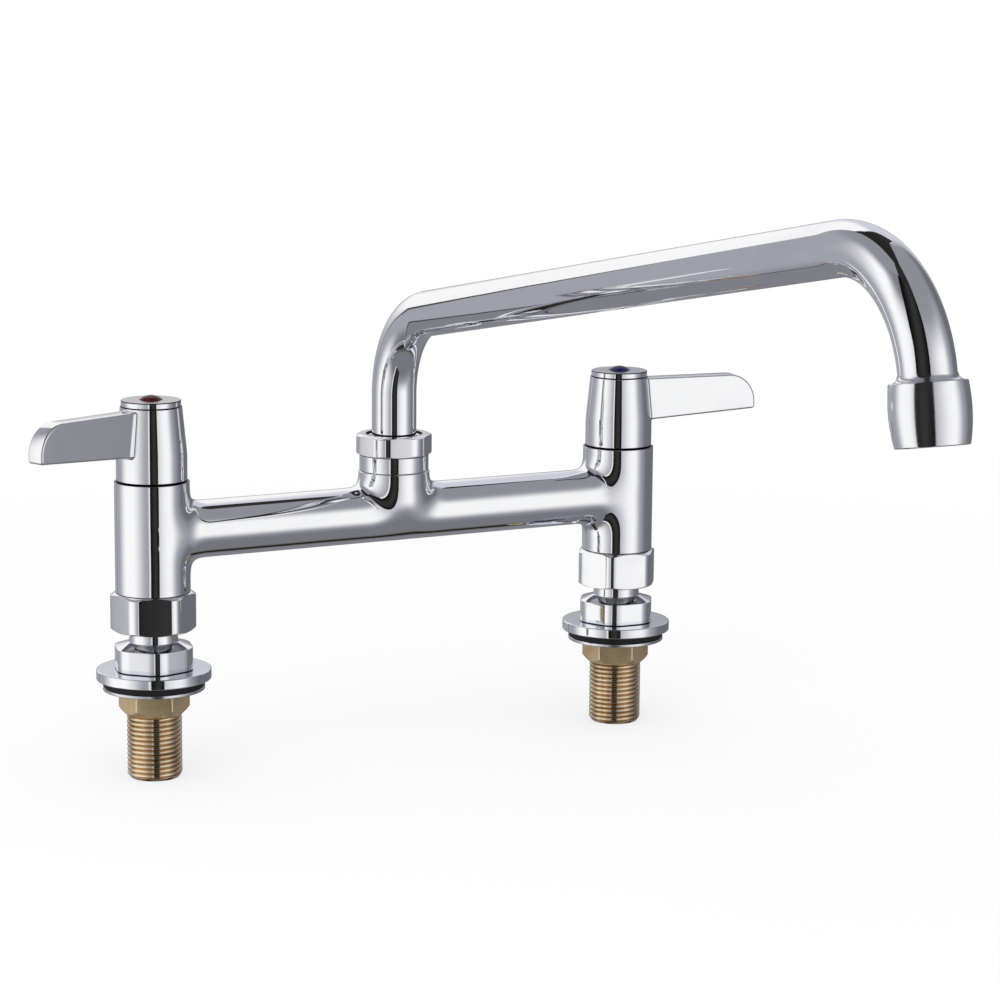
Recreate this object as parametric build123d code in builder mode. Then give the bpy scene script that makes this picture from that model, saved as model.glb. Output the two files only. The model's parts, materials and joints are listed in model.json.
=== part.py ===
from build123d import *

import os
from math import cos, radians, sin, tan

os.makedirs("parts", exist_ok=True)

# Deck-mounted bridge faucet, in millimetres.
# The origin is midway between the two inlets on the deck, under the rubber gaskets.
# +X runs from the hot side to the cold side, the spout points along -Y at rest, +Z is up.

# Clearances
thread_clearance = 0.05
running_clearance = 0.05
assembly_clearance = 0.1
ring_clearance = 0.03
turning_gap = 0.3
hub_gap = 0.45
deck_hole_clearance = 0.3

# Inlet centres and the clamp on the deck
inlet_spacing = 203.2
gasket_height = 2.6
gasket_radius = 19.35
washer_height = 1.4
washer_radius = 19.45
flange_height = 4.0
flange_radius = 21.9
flange_edge = 0.5
lock_nut_height = 9.2
lock_nut_flats = 23.7
lock_nut_corner_round = 0.7
lock_nut_chamfer_angle = 45.0
nut_chamfer_angle = 30.0

# Threaded shank
shank_radius = 10.48
shank_bore_radius = 7.75
thread_pitch = 1.814
thread_depth = 1.16
thread_crest_share = 0.18
shank_free_length = 25.1
shank_grip = 8.4
pitch_line_drop = 0.28

# Tailpiece and coupling nut
tail_hex_height = 10.4
tail_hex_flats = 28.9
tail_corner_round = 6.0
tail_roof_width = 3.5
tail_roof_drop = 1.75
tail_bore_radius = 6.5
neck_radius = 9.3
neck_height = 4.5
tail_collar_radius = 11.5
tail_collar_height = 1.8
coupling_nut_height = 14.8
coupling_nut_flats = 29.6
coupling_corner_round = 5.0
coupling_lip = 2.2
neck_clearance = 0.2
union_washer_height = 1.5
union_washer_bore = 7.0

# Barrels, cross tube and boss
barrel_radius = 14.25
barrel_height = 42.7
barrel_wall = 4.05
barrel_edge = 0.5
spigot_radius = 11.9
inlet_bore_radius = 7.0
bridge_drop = 20.0
bridge_radius = 11.0
bridge_bore_radius = 7.5
bridge_fillet = 6.0
boss_radius = 13.9
boss_rise = 17.0
boss_shoulder = 8.0
boss_fillet = 3.0

# Quarter-turn cartridge
pocket_depth = 31.0
seal_height = 2.2
seal_bore_radius = 7.1
disc_height = 3.0
disc_gap = 0.02
port_inner_radius = 2.0
port_outer_radius = 6.4
port_sweep = 80.0
fixed_port_turn = 90.0
key_width = 3.0
key_reach = 1.0
waist_depth = 0.95
waist_wall = 0.9
land_height = 4.4
chamber_height = 15.8
window_width = 6.0
window_height = 5.0
housing_ring_section = 0.75
housing_ring_drop = 5.0
housing_flange_height = 1.2
housing_flange_gap = 0.4
housing_hex_flats = 19.0
housing_hex_height = 4.8
housing_nose_radius = 6.8
housing_nose_height = 1.0

# Stem
stem_radius = 4.9
stem_collar_radius = 7.6
stem_collar_height = 2.0
stem_ring_section = 0.62
stem_ring_drop = 7.0
tang_length = 12.0
tang_width = 3.6
tang_depth = 1.4
drive_square = 6.8
drive_length = 10.5
drive_short = 0.5
clip_thickness = 1.0
clip_groove_depth = 0.6
clip_radius = 7.0
clip_sweep = 300.0

# Lever handles
hub_radius = 13.43
hub_height = 28.0
hub_straight = 8.0
hub_bend = 40.0
hub_taper = 5.6
hub_wall = 1.85
hub_cavity_depth = 10.7
blade_thickness = 7.5
blade_reach = 59.0
blade_top_drop = 1.0
blade_top_slope = 0.003
blade_bottom_rise = 9.1
blade_bottom_slope = 0.063
blade_tip_round = 11.5
blade_edge_round = 0.9
blade_root_fillet = 1.1
screw_recess_radius = 6.6
cap_radius = 11.3
cap_height = 2.45
cap_edge = 0.5
cap_spigot_length = 2.4
cap_spigot_wall = 1.5
button_radius = 4.4
button_depth = 1.7
button_dome = 1.7
screw_radius = 2.0
screw_length = 10.0
screw_head_radius = 4.0
screw_head_height = 2.6
screw_drive_flats = 3.0
screw_drive_depth = 1.6
hot_lever_opening = 23.0
cold_lever_opening = 8.0
quarter_turn = 90.0

# Spout nut and swivel
boss_spigot_radius = 11.85
boss_spigot_height = 9.0
spout_nut_flats = 27.3
spout_nut_corner_round = 5.0
skirt_radius = 13.56
skirt_height = 6.4
spout_nut_hex_height = 8.1
thrust_washer_height = 0.75
thrust_gap = 0.05
thrust_washer_radius = 11.6
sleeve_radius = 10.35
sleeve_bore_radius = 7.0
sleeve_length = 18.85
sleeve_collar_radius = 11.2
sleeve_collar_height = 1.45
sleeve_ring_section = 0.7
sleeve_ring_lower = 3.0
sleeve_ring_upper = 8.0
tube_socket_depth = 7.3
braze_gap = 0.02
nut_opening_gap = 0.32
counterbore_radius = 11.05
counterbore_depth = 0.75

# Spout tube and outlet
tube_radius = 8.73
tube_wall = 1.0
spout_rise = 105.8
spout_bend_radius = 35.4
spout_slope = 10.0
spout_run = 279.7
outlet_bend_radius = 41.0
outlet_end_length = 1.1
outlet_angle = 90.0
collar_length = 19.0
collar_top_radius = 11.66
collar_belly_radius = 12.2
collar_belly_drop = 6.5
collar_end_radius = 11.08
collar_edge = 0.6
collar_flare = 2.1
collar_lip = 0.15
collar_socket_depth = 7.0
collar_wall = 1.6
aerator_gasket_height = 1.5
aerator_gasket_wall = 1.6
screen_height = 0.8
aerator_height = 7.6
aerator_hole_radius = 0.9
screen_hole_radius = 0.6
screen_hole_rings = {2.4: 6, 4.7: 12, 7.1: 18}
aerator_hole_rings = {3.3: 6, 6.6: 12}

# Corner directions of the hexagons, in degrees about +Z
spout_nut_turn = 45.0
coupling_turn = {"hot": 43.0, "cold": 52.0}
tail_hex_turn = {"hot": 13.5, "cold": 57.0}
lock_nut_turn = {"hot": 38.5, "cold": 31.0}

# Heights of the stack on each inlet
flange_bottom = gasket_height
flange_top = flange_bottom + flange_height
tail_hex_top = flange_top + tail_hex_height
nut_bottom = tail_hex_top + neck_height
tail_collar_bottom = nut_bottom + coupling_lip
tail_collar_top = tail_collar_bottom + tail_collar_height
spigot_bottom = tail_collar_top + union_washer_height
barrel_bottom = nut_bottom + coupling_nut_height
barrel_top = barrel_bottom + barrel_height
bridge_height = barrel_top - bridge_drop
lock_nut_top = -washer_height
lock_nut_bottom = lock_nut_top - lock_nut_height
shank_bottom = lock_nut_bottom - shank_free_length
shank_top = flange_top + shank_grip
shank_plain_radius = shank_radius - pitch_line_drop
deck_hole_radius = shank_radius + deck_hole_clearance

# Heights and radii inside each barrel
pocket_radius = barrel_radius - barrel_wall
seat_height = barrel_top - pocket_depth
housing_bottom = seat_height + seal_height
chamber_top = housing_bottom + chamber_height
land_radius = pocket_radius - thread_clearance
waist_radius = land_radius - waist_depth
chamber_radius = waist_radius - waist_wall
disc_radius = chamber_radius - assembly_clearance
moving_disc_bottom = housing_bottom + disc_height + disc_gap
moving_disc_top = moving_disc_bottom + disc_height
stem_bore_radius = stem_radius + running_clearance
hub_cavity_radius = hub_radius - hub_wall
housing_flange_radius = hub_cavity_radius - housing_flange_gap
housing_flange_top = barrel_top + housing_flange_height
housing_hex_top = housing_flange_top + housing_hex_height
housing_top = housing_hex_top + housing_nose_height
hub_bottom = barrel_top + hub_gap
hub_top = hub_bottom + hub_height
web_bottom = hub_bottom + hub_cavity_depth
web_top = web_bottom + drive_length + drive_short
stem_top = web_bottom + drive_length

# Heights of the spout joint
boss_top = bridge_height + boss_rise
boss_spigot_top = boss_top + boss_spigot_height
sleeve_collar_bottom = boss_spigot_top + thrust_washer_height + thrust_gap
sleeve_collar_top = sleeve_collar_bottom + sleeve_collar_height
sleeve_bottom = sleeve_collar_bottom - sleeve_length
upper_washer_bottom = sleeve_collar_top + thrust_gap
upper_washer_top = upper_washer_bottom + thrust_washer_height
skirt_top = boss_top + skirt_height
spout_nut_top = skirt_top + spout_nut_hex_height
sleeve_hole_radius = sleeve_radius + running_clearance
sleeve_floor = sleeve_bottom - turning_gap
tube_bottom = sleeve_collar_top - tube_socket_depth
nut_opening_radius = tube_radius + nut_opening_gap

sides = {"hot": -inlet_spacing / 2, "cold": inlet_spacing / 2}
lever_direction = {"hot": 180 + hot_lever_opening, "cold": -cold_lever_opening}
port_lag = {"hot": hot_lever_opening - quarter_turn, "cold": quarter_turn - cold_lever_opening}


def save(piece, name):
    """Names a finished piece and writes it to its own file."""
    piece.part.label = name
    export_step(piece.part, f"parts/{name}.step")


def upright(axis_x):
    """The plane through a vertical axis whose local x is the radius and local y the height."""
    return Plane(origin=(axis_x, 0, 0), x_dir=(1, 0, 0), z_dir=(0, -1, 0))


def vertical(axis_x):
    """The vertical axis at a place along the bridge."""
    return Axis((axis_x, 0, 0), (0, 0, 1))


def turned(axis_x, outline, mode=Mode.ADD):
    """Turns a closed outline of radius and height points about a vertical axis."""
    with BuildSketch(upright(axis_x)) as profile:
        with BuildLine():
            Polyline(*outline, close=True)
        make_face()
    revolve(profile.sketch, axis=vertical(axis_x), mode=mode)


def ring(axis_x, inner, outer, bottom, top, mode=Mode.ADD):
    """A plain ring with square edges."""
    turned(axis_x, [(inner, bottom), (outer, bottom), (outer, top), (inner, top)], mode)


def rod(axis_x, radius, bottom, top, mode=Mode.ADD):
    """A plain upright cylinder between two heights."""
    with BuildSketch(Plane.XY.offset(bottom)) as profile:
        with Locations((axis_x, 0)):
            Circle(radius)
    extrude(profile.sketch, amount=top - bottom, mode=mode)


def hexagon(axis_x, flats, corner_round, corner_turn, bottom, top):
    """A hexagonal prism with rounded corners, one corner pointing along corner_turn."""
    with BuildSketch(Plane.XY.offset(bottom)) as profile:
        with Locations((axis_x, 0)):
            RegularPolygon(flats / 2, 6, major_radius=False, rotation=corner_turn)
        fillet(profile.vertices(), corner_round)
    extrude(profile.sketch, amount=top - bottom)


def turn_corners(axis_x, flats, bottom, top, at_bottom, at_top, angle=nut_chamfer_angle):
    """Turns the corners of a hexagon down to its flats at one end or both, at the chamfer angle."""
    corner = flats / 2 / cos(radians(30))
    drop = (corner - flats / 2) * tan(radians(angle))
    low = (flats / 2, bottom) if at_bottom else (corner, bottom)
    high = (flats / 2, top) if at_top else (corner, top)
    outline = [
        (0, bottom),
        low,
        (corner, bottom + drop),
        (corner, top - drop),
        high,
        (0, top),
    ]
    turned(axis_x, outline, Mode.INTERSECT)


def disc_with_ports(axis_x, bottom, port_turn):
    """A ceramic disc with two opposite ports, each a sector of a ring."""
    rod(axis_x, disc_radius, bottom, bottom + disc_height)
    for opposite in (0, 180):
        start = port_turn + opposite - port_sweep / 2
        with BuildSketch(Plane((axis_x, 0, bottom))) as port:
            with BuildLine():
                outside = CenterArc((0, 0), port_outer_radius, start, port_sweep)
                inside = CenterArc((0, 0), port_inner_radius, start, port_sweep)
                Line(outside @ 0, inside @ 0)
                Line(outside @ 1, inside @ 1)
            make_face()
        extrude(port.sketch, amount=disc_height, mode=Mode.SUBTRACT)


# Bridge body: two barrels, the cross tube and the spout boss in one casting
with BuildPart() as bridge_body:
    for axis_x in sides.values():
        outline = [
            (0, barrel_bottom),
            (barrel_radius, barrel_bottom),
            (barrel_radius, barrel_top - barrel_edge),
            (barrel_radius - barrel_edge, barrel_top),
            (0, barrel_top),
        ]
        turned(axis_x, outline)
    with BuildSketch(Plane.YZ.offset(-inlet_spacing / 2)):
        with Locations((0, bridge_height)):
            Circle(bridge_radius)
    extrude(amount=inlet_spacing)
    fillet(bridge_body.edges(Select.NEW), bridge_fillet)
    with BuildSketch(upright(0)):
        with BuildLine():
            rim = Line((0, boss_top), (boss_radius, boss_top))
            wall = Line(rim @ 1, (boss_radius, boss_top - boss_shoulder))
            bowl = JernArc(wall @ 1, (0, -1), boss_radius, -90)
            Line(bowl @ 1, rim @ 0)
        make_face()
    revolve(axis=vertical(0))
    fillet(bridge_body.edges(Select.NEW), boss_fillet)
    for axis_x in sides.values():
        rod(axis_x, spigot_radius, spigot_bottom, barrel_bottom)
        rod(axis_x, inlet_bore_radius, spigot_bottom, seat_height, Mode.SUBTRACT)
        rod(axis_x, pocket_radius, seat_height, barrel_top, Mode.SUBTRACT)
    with BuildSketch(Plane.YZ.offset(-inlet_spacing / 2)):
        with Locations((0, bridge_height)):
            Circle(bridge_bore_radius)
    extrude(amount=inlet_spacing, mode=Mode.SUBTRACT)
    rod(0, boss_spigot_radius, boss_top, boss_spigot_top)
    rod(0, sleeve_hole_radius, sleeve_floor, boss_spigot_top, Mode.SUBTRACT)
    rod(0, sleeve_bore_radius, bridge_height, sleeve_floor, Mode.SUBTRACT)
save(bridge_body, "bridge_body")

for side, axis_x in sides.items():
    # Deck clamp, from the flange down to the end of the shank
    with BuildPart() as deck_flange:
        outline = [
            (deck_hole_radius, flange_bottom),
            (flange_radius - flange_edge, flange_bottom),
            (flange_radius, flange_bottom + flange_edge),
            (flange_radius, flange_top - flange_edge),
            (flange_radius - flange_edge, flange_top),
            (deck_hole_radius, flange_top),
        ]
        turned(axis_x, outline)
    save(deck_flange, f"{side}_deck_flange")

    with BuildPart() as deck_gasket:
        ring(axis_x, deck_hole_radius, gasket_radius, 0, gasket_height)
    save(deck_gasket, f"{side}_deck_gasket")

    with BuildPart() as deck_washer:
        ring(axis_x, deck_hole_radius, washer_radius, -washer_height, 0)
    save(deck_washer, f"{side}_deck_washer")

    with BuildPart() as lock_nut:
        corners = (lock_nut_corner_round, lock_nut_turn[side])
        hexagon(axis_x, lock_nut_flats, *corners, lock_nut_bottom, lock_nut_top)
        heights = (lock_nut_bottom, lock_nut_top)
        turn_corners(axis_x, lock_nut_flats, *heights, True, False, lock_nut_chamfer_angle)
        bore = shank_plain_radius + thread_clearance
        rod(axis_x, bore, lock_nut_bottom, lock_nut_top, Mode.SUBTRACT)
    save(lock_nut, f"{side}_lock_nut")

    # The free end of the shank carries its thread as rings at the true pitch
    thread_root = shank_radius - thread_depth
    thread_flank = thread_pitch * (1 - 2 * thread_crest_share) / 2
    thread_turns = int(shank_free_length / thread_pitch)
    with BuildPart() as threaded_shank:
        outline = [(shank_bore_radius, shank_bottom), (thread_root, shank_bottom)]
        for turn in range(thread_turns):
            root_end = shank_bottom + turn * thread_pitch + thread_pitch * thread_crest_share
            crest = root_end + thread_flank
            crest_end = crest + thread_pitch * thread_crest_share
            outline += [(thread_root, root_end), (shank_radius, crest), (shank_radius, crest_end)]
            outline += [(thread_root, crest_end + thread_flank)]
        outline += [(thread_root, lock_nut_bottom), (shank_plain_radius, lock_nut_bottom)]
        outline += [(shank_plain_radius, shank_top), (shank_bore_radius, shank_top)]
        turned(axis_x, outline)
    save(threaded_shank, f"{side}_threaded_shank")

    # Tailpiece, union washer and coupling nut
    with BuildPart() as tailpiece:
        corners = (tail_corner_round, tail_hex_turn[side])
        hexagon(axis_x, tail_hex_flats, *corners, flange_top, tail_hex_top)
        roof = tailpiece.faces().sort_by(Axis.Z)[-1]
        chamfer(roof.edges(), tail_roof_width, tail_roof_drop, reference=roof)
        rod(axis_x, neck_radius, tail_hex_top, tail_collar_bottom)
        rod(axis_x, tail_collar_radius, tail_collar_bottom, tail_collar_top)
        rod(axis_x, tail_bore_radius, flange_top, tail_collar_top, Mode.SUBTRACT)
        socket = shank_plain_radius + thread_clearance
        rod(axis_x, socket, flange_top, shank_top, Mode.SUBTRACT)
    save(tailpiece, f"{side}_tailpiece")

    with BuildPart() as union_washer:
        ring(axis_x, union_washer_bore, tail_collar_radius, tail_collar_top, spigot_bottom)
    save(union_washer, f"{side}_union_washer")

    with BuildPart() as coupling_nut:
        corners = (coupling_corner_round, coupling_turn[side])
        hexagon(axis_x, coupling_nut_flats, *corners, nut_bottom, barrel_bottom)
        turn_corners(axis_x, coupling_nut_flats, nut_bottom, barrel_bottom, True, True)
        lip_hole = neck_radius + neck_clearance
        rod(axis_x, lip_hole, nut_bottom, barrel_bottom, Mode.SUBTRACT)
        nut_thread = spigot_radius + thread_clearance
        rod(axis_x, nut_thread, tail_collar_bottom, barrel_bottom, Mode.SUBTRACT)
    save(coupling_nut, f"{side}_coupling_nut")

    # Cartridge: seal, housing and ceramic discs
    with BuildPart() as seat_seal:
        seal_radius = pocket_radius - assembly_clearance
        ring(axis_x, seal_bore_radius, seal_radius, seat_height, housing_bottom)
    save(seat_seal, f"{side}_seat_seal")

    ring_height = barrel_top - housing_ring_drop
    ring_radius = pocket_radius - ring_clearance - housing_ring_section
    groove_radius = ring_radius - housing_ring_section - ring_clearance
    groove_half = housing_ring_section + assembly_clearance
    waist_bottom = housing_bottom + land_height
    with BuildPart() as cartridge_housing:
        outline = [
            (0, housing_bottom),
            (land_radius, housing_bottom),
            (land_radius, waist_bottom),
            (waist_radius, waist_bottom),
            (waist_radius, chamber_top),
            (land_radius, chamber_top),
            (land_radius, ring_height - groove_half),
            (groove_radius, ring_height - groove_half),
            (groove_radius, ring_height + groove_half),
            (land_radius, ring_height + groove_half),
            (land_radius, barrel_top),
            (housing_flange_radius, barrel_top),
            (housing_flange_radius, housing_flange_top),
            (housing_nose_radius, housing_flange_top),
            (housing_nose_radius, housing_top),
            (0, housing_top),
        ]
        turned(axis_x, outline)
        with BuildSketch(Plane.XY.offset(housing_flange_top)):
            with Locations((axis_x, 0)):
                RegularPolygon(housing_hex_flats / 2, 6, major_radius=False)
        extrude(amount=housing_hex_height)
        rod(axis_x, chamber_radius, housing_bottom, chamber_top, Mode.SUBTRACT)
        rod(axis_x, stem_bore_radius, chamber_top, housing_top, Mode.SUBTRACT)
        with Locations((axis_x, 0, bridge_height)):
            Box(2 * pocket_radius, window_width, window_height, mode=Mode.SUBTRACT)
            Box(window_width, 2 * pocket_radius, window_height, mode=Mode.SUBTRACT)
        with Locations((axis_x, 0, housing_bottom + disc_height / 2)):
            slot = key_width + 2 * assembly_clearance
            slot_length = 2 * (chamber_radius + key_reach + assembly_clearance)
            Box(slot_length, slot, disc_height, mode=Mode.SUBTRACT)
    save(cartridge_housing, f"{side}_cartridge_housing")

    with BuildPart() as housing_o_ring:
        with Locations((axis_x, 0, ring_height)):
            Torus(ring_radius, housing_ring_section)
    save(housing_o_ring, f"{side}_housing_o_ring")

    with BuildPart() as fixed_disc:
        with Locations((axis_x, 0, housing_bottom + disc_height / 2)):
            Box(2 * (chamber_radius + key_reach), key_width, disc_height)
        disc_with_ports(axis_x, housing_bottom, fixed_port_turn)
    save(fixed_disc, f"{side}_fixed_disc")

    # The moving disc and the stem turn with the lever
    port_turn = fixed_port_turn + port_lag[side]
    tang_plane = Plane((axis_x, 0, moving_disc_top - tang_depth), x_dir=(1, 0, 0))
    tang_plane = tang_plane.rotated((0, 0, port_turn + 90))
    with BuildPart() as moving_disc:
        disc_with_ports(axis_x, moving_disc_bottom, port_turn)
        with BuildSketch(tang_plane):
            Rectangle(tang_length + 2 * assembly_clearance, tang_width + 2 * assembly_clearance)
        extrude(amount=tang_depth, mode=Mode.SUBTRACT)
    save(moving_disc, f"{side}_moving_disc")

    stem_ring_height = chamber_top + stem_ring_drop
    stem_ring_radius = stem_bore_radius - ring_clearance - stem_ring_section
    stem_groove_radius = stem_ring_radius - stem_ring_section - ring_clearance
    stem_groove_half = stem_ring_section + assembly_clearance
    stem_collar_top = chamber_top - turning_gap
    clip_bottom = housing_top + turning_gap
    clip_groove_radius = stem_radius - clip_groove_depth
    lever_turn = lever_direction[side]
    with BuildPart() as stem:
        outline = [
            (0, moving_disc_top),
            (stem_radius, moving_disc_top),
            (stem_radius, stem_collar_top - stem_collar_height),
            (stem_collar_radius, stem_collar_top - stem_collar_height),
            (stem_collar_radius, stem_collar_top),
            (stem_radius, stem_collar_top),
            (stem_radius, stem_ring_height - stem_groove_half),
            (stem_groove_radius, stem_ring_height - stem_groove_half),
            (stem_groove_radius, stem_ring_height + stem_groove_half),
            (stem_radius, stem_ring_height + stem_groove_half),
            (stem_radius, clip_bottom),
            (clip_groove_radius, clip_bottom),
            (clip_groove_radius, clip_bottom + clip_thickness),
            (stem_radius, clip_bottom + clip_thickness),
            (stem_radius, web_bottom),
            (0, web_bottom),
        ]
        turned(axis_x, outline)
        with BuildSketch(tang_plane):
            Rectangle(tang_length, tang_width)
        extrude(amount=tang_depth)
        with BuildSketch(Plane((axis_x, 0, web_bottom)).rotated((0, 0, lever_turn))):
            Rectangle(drive_square, drive_square)
        extrude(amount=drive_length)
        screw_hole = screw_radius + thread_clearance
        rod(axis_x, screw_hole, web_top - screw_length - drive_short, stem_top, Mode.SUBTRACT)
    save(stem, f"{side}_stem")

    with BuildPart() as stem_o_ring:
        with Locations((axis_x, 0, stem_ring_height)):
            Torus(stem_ring_radius, stem_ring_section)
    save(stem_o_ring, f"{side}_stem_o_ring")

    with BuildPart() as stem_clip:
        with BuildSketch(upright(axis_x)):
            with BuildLine():
                clip_bore = clip_groove_radius + ring_clearance
                Polyline(
                    (clip_bore, clip_bottom),
                    (clip_radius, clip_bottom),
                    (clip_radius, clip_bottom + clip_thickness),
                    (clip_bore, clip_bottom + clip_thickness),
                    close=True,
                )
            make_face()
        revolve(axis=vertical(axis_x), revolution_arc=clip_sweep)
    save(stem_clip, f"{side}_stem_clip")

    # Lever handle: a hollow hub with a flat blade
    blade_x = (cos(radians(lever_turn)), sin(radians(lever_turn)), 0)
    blade_z = (sin(radians(lever_turn)), -cos(radians(lever_turn)), 0)
    blade_plane = Plane(origin=(axis_x, 0, 0), x_dir=blade_x, z_dir=blade_z)
    blade_top = hub_top - blade_top_drop
    blade_bottom = hub_bottom + blade_bottom_rise
    with BuildPart() as lever_handle:
        with BuildSketch(blade_plane) as blade:
            with BuildLine():
                Polyline(
                    (0, blade_bottom),
                    (blade_reach, blade_bottom + blade_bottom_slope * blade_reach),
                    (blade_reach, blade_top + blade_top_slope * blade_reach),
                    (0, blade_top),
                    close=True,
                )
            make_face()
            fillet(blade.vertices().group_by(Axis.X)[-1].sort_by(Axis.Y)[-1], blade_tip_round)
        extrude(amount=blade_thickness / 2, both=True)
        faces_apart = lever_handle.faces().sort_by(Axis((0, 0, 0), blade_z))
        fillet(faces_apart[0].edges() + faces_apart[-1].edges(), blade_edge_round)
        with BuildSketch(upright(axis_x)):
            with BuildLine():
                hub_floor = Line((0, hub_bottom), (hub_radius, hub_bottom))
                hub_side = Line(hub_floor @ 1, (hub_radius, hub_bottom + hub_straight))
                hub_curve = JernArc(hub_side @ 1, (0, 1), hub_bend, hub_taper)
                taper_height = hub_top - (hub_curve @ 1).Y
                hub_cone = PolarLine(
                    hub_curve @ 1, taper_height, direction=hub_curve % 1, length_mode=LengthMode.VERTICAL
                )
                hub_roof = Line(hub_cone @ 1, (0, hub_top))
                Line(hub_roof @ 1, hub_floor @ 0)
            make_face()
        revolve(axis=vertical(axis_x))
        fillet(lever_handle.edges(Select.NEW), blade_root_fillet)
        rod(axis_x, hub_cavity_radius, hub_bottom, web_bottom, Mode.SUBTRACT)
        rod(axis_x, screw_recess_radius, web_top, hub_top, Mode.SUBTRACT)
        socket = drive_square + 2 * thread_clearance
        with BuildSketch(Plane((axis_x, 0, web_bottom)).rotated((0, 0, lever_turn))):
            Rectangle(socket, socket)
        extrude(amount=web_top - web_bottom, mode=Mode.SUBTRACT)
    save(lever_handle, f"{side}_lever_handle")

    with BuildPart() as handle_screw:
        rod(axis_x, screw_head_radius, web_top, web_top + screw_head_height)
        rod(axis_x, screw_radius, web_top - screw_length, web_top)
        with BuildSketch(Plane((axis_x, 0, web_top + screw_head_height))):
            RegularPolygon(screw_drive_flats / 2, 6, major_radius=False)
        extrude(amount=-screw_drive_depth, mode=Mode.SUBTRACT)
    save(handle_screw, f"{side}_handle_screw")

    # Index cap and button on top of the hub
    cap_top = hub_top + cap_height
    cap_spigot_radius = screw_recess_radius - assembly_clearance
    button_bottom = cap_top - button_depth
    with BuildPart() as index_cap:
        rod(axis_x, cap_radius, hub_top, cap_top)
        fillet(index_cap.edges().group_by(Axis.Z)[-1], cap_edge)
        rod(axis_x, cap_spigot_radius, hub_top - cap_spigot_length, hub_top)
        cap_hollow = cap_spigot_radius - cap_spigot_wall
        rod(axis_x, cap_hollow, hub_top - cap_spigot_length, hub_top, Mode.SUBTRACT)
        rod(axis_x, button_radius + thread_clearance, button_bottom, cap_top, Mode.SUBTRACT)
    save(index_cap, f"{side}_index_cap")

    with BuildPart() as index_button:
        with BuildSketch(upright(axis_x)):
            with BuildLine():
                button_floor = Line((0, button_bottom), (button_radius, button_bottom))
                Line(button_floor @ 1, (button_radius, cap_top))
                peak = (0, cap_top + button_dome)
                dome = TangentArc(peak, (button_radius, cap_top), tangent=(1, 0))
                Line(dome @ 0, button_floor @ 0)
            make_face()
        revolve(axis=vertical(axis_x))
    save(index_button, f"{side}_index_button")

# Spout nut, thrust washers and swivel sleeve on the boss
with BuildPart() as spout_nut:
    corners = (spout_nut_corner_round, spout_nut_turn)
    hexagon(0, spout_nut_flats, *corners, skirt_top, spout_nut_top)
    turn_corners(0, spout_nut_flats, skirt_top, spout_nut_top, True, True)
    rod(0, skirt_radius, boss_top, skirt_top)
    nut_thread = boss_spigot_radius + thread_clearance
    rod(0, nut_thread, boss_top, upper_washer_top, Mode.SUBTRACT)
    rod(0, nut_opening_radius, upper_washer_top, spout_nut_top, Mode.SUBTRACT)
    rod(0, counterbore_radius, spout_nut_top - counterbore_depth, spout_nut_top, Mode.SUBTRACT)
save(spout_nut, "spout_nut")

with BuildPart() as lower_thrust_washer:
    washer_top = boss_spigot_top + thrust_washer_height
    ring(0, sleeve_hole_radius, thrust_washer_radius, boss_spigot_top, washer_top)
save(lower_thrust_washer, "lower_thrust_washer")

with BuildPart() as upper_thrust_washer:
    ring(0, nut_opening_radius, thrust_washer_radius, upper_washer_bottom, upper_washer_top)
save(upper_thrust_washer, "upper_thrust_washer")

sleeve_ring_radius = sleeve_hole_radius - ring_clearance - sleeve_ring_section
sleeve_groove_radius = sleeve_ring_radius - sleeve_ring_section - ring_clearance
sleeve_groove_half = sleeve_ring_section + assembly_clearance
lower_ring_height = sleeve_bottom + sleeve_ring_lower
upper_ring_height = sleeve_bottom + sleeve_ring_upper

with BuildPart() as swivel_sleeve:
    rod(0, sleeve_radius, sleeve_bottom, sleeve_collar_bottom)
    rod(0, sleeve_collar_radius, sleeve_collar_bottom, sleeve_collar_top)
    rod(0, sleeve_bore_radius, sleeve_bottom, tube_bottom, Mode.SUBTRACT)
    rod(0, tube_radius + braze_gap, tube_bottom, sleeve_collar_top, Mode.SUBTRACT)
    for height in (lower_ring_height, upper_ring_height):
        low = height - sleeve_groove_half
        high = height + sleeve_groove_half
        ring(0, sleeve_groove_radius, sleeve_radius, low, high, Mode.SUBTRACT)
save(swivel_sleeve, "swivel_sleeve")

for name, height in {"lower": lower_ring_height, "upper": upper_ring_height}.items():
    with BuildPart() as sleeve_o_ring:
        with Locations((0, 0, height)):
            Torus(sleeve_ring_radius, sleeve_ring_section)
    save(sleeve_o_ring, f"{name}_sleeve_o_ring")

# Spout tube, drawn in the plane whose local x points at the user and local y up
spout_plane = Plane(origin=(0, 0, 0), x_dir=(0, -1, 0), z_dir=(-1, 0, 0))

with BuildPart() as spout_tube:
    with BuildLine(spout_plane) as spout_path:
        riser = Line((0, tube_bottom), (0, spout_rise))
        first_bend = JernArc(riser @ 1, riser % 1, spout_bend_radius, spout_slope - quarter_turn)
        run = PolarLine(first_bend @ 1, spout_run, direction=first_bend % 1)
        last_bend = JernArc(run @ 1, run % 1, outlet_bend_radius, -outlet_angle)
        drop = PolarLine(
            last_bend @ 1, outlet_end_length + collar_socket_depth, direction=last_bend % 1
        )
    with BuildSketch(Plane.XY.offset(tube_bottom)):
        Circle(tube_radius)
        Circle(tube_radius - tube_wall, mode=Mode.SUBTRACT)
    sweep(path=spout_path.wires()[0])
save(spout_tube, "spout_tube")

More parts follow.
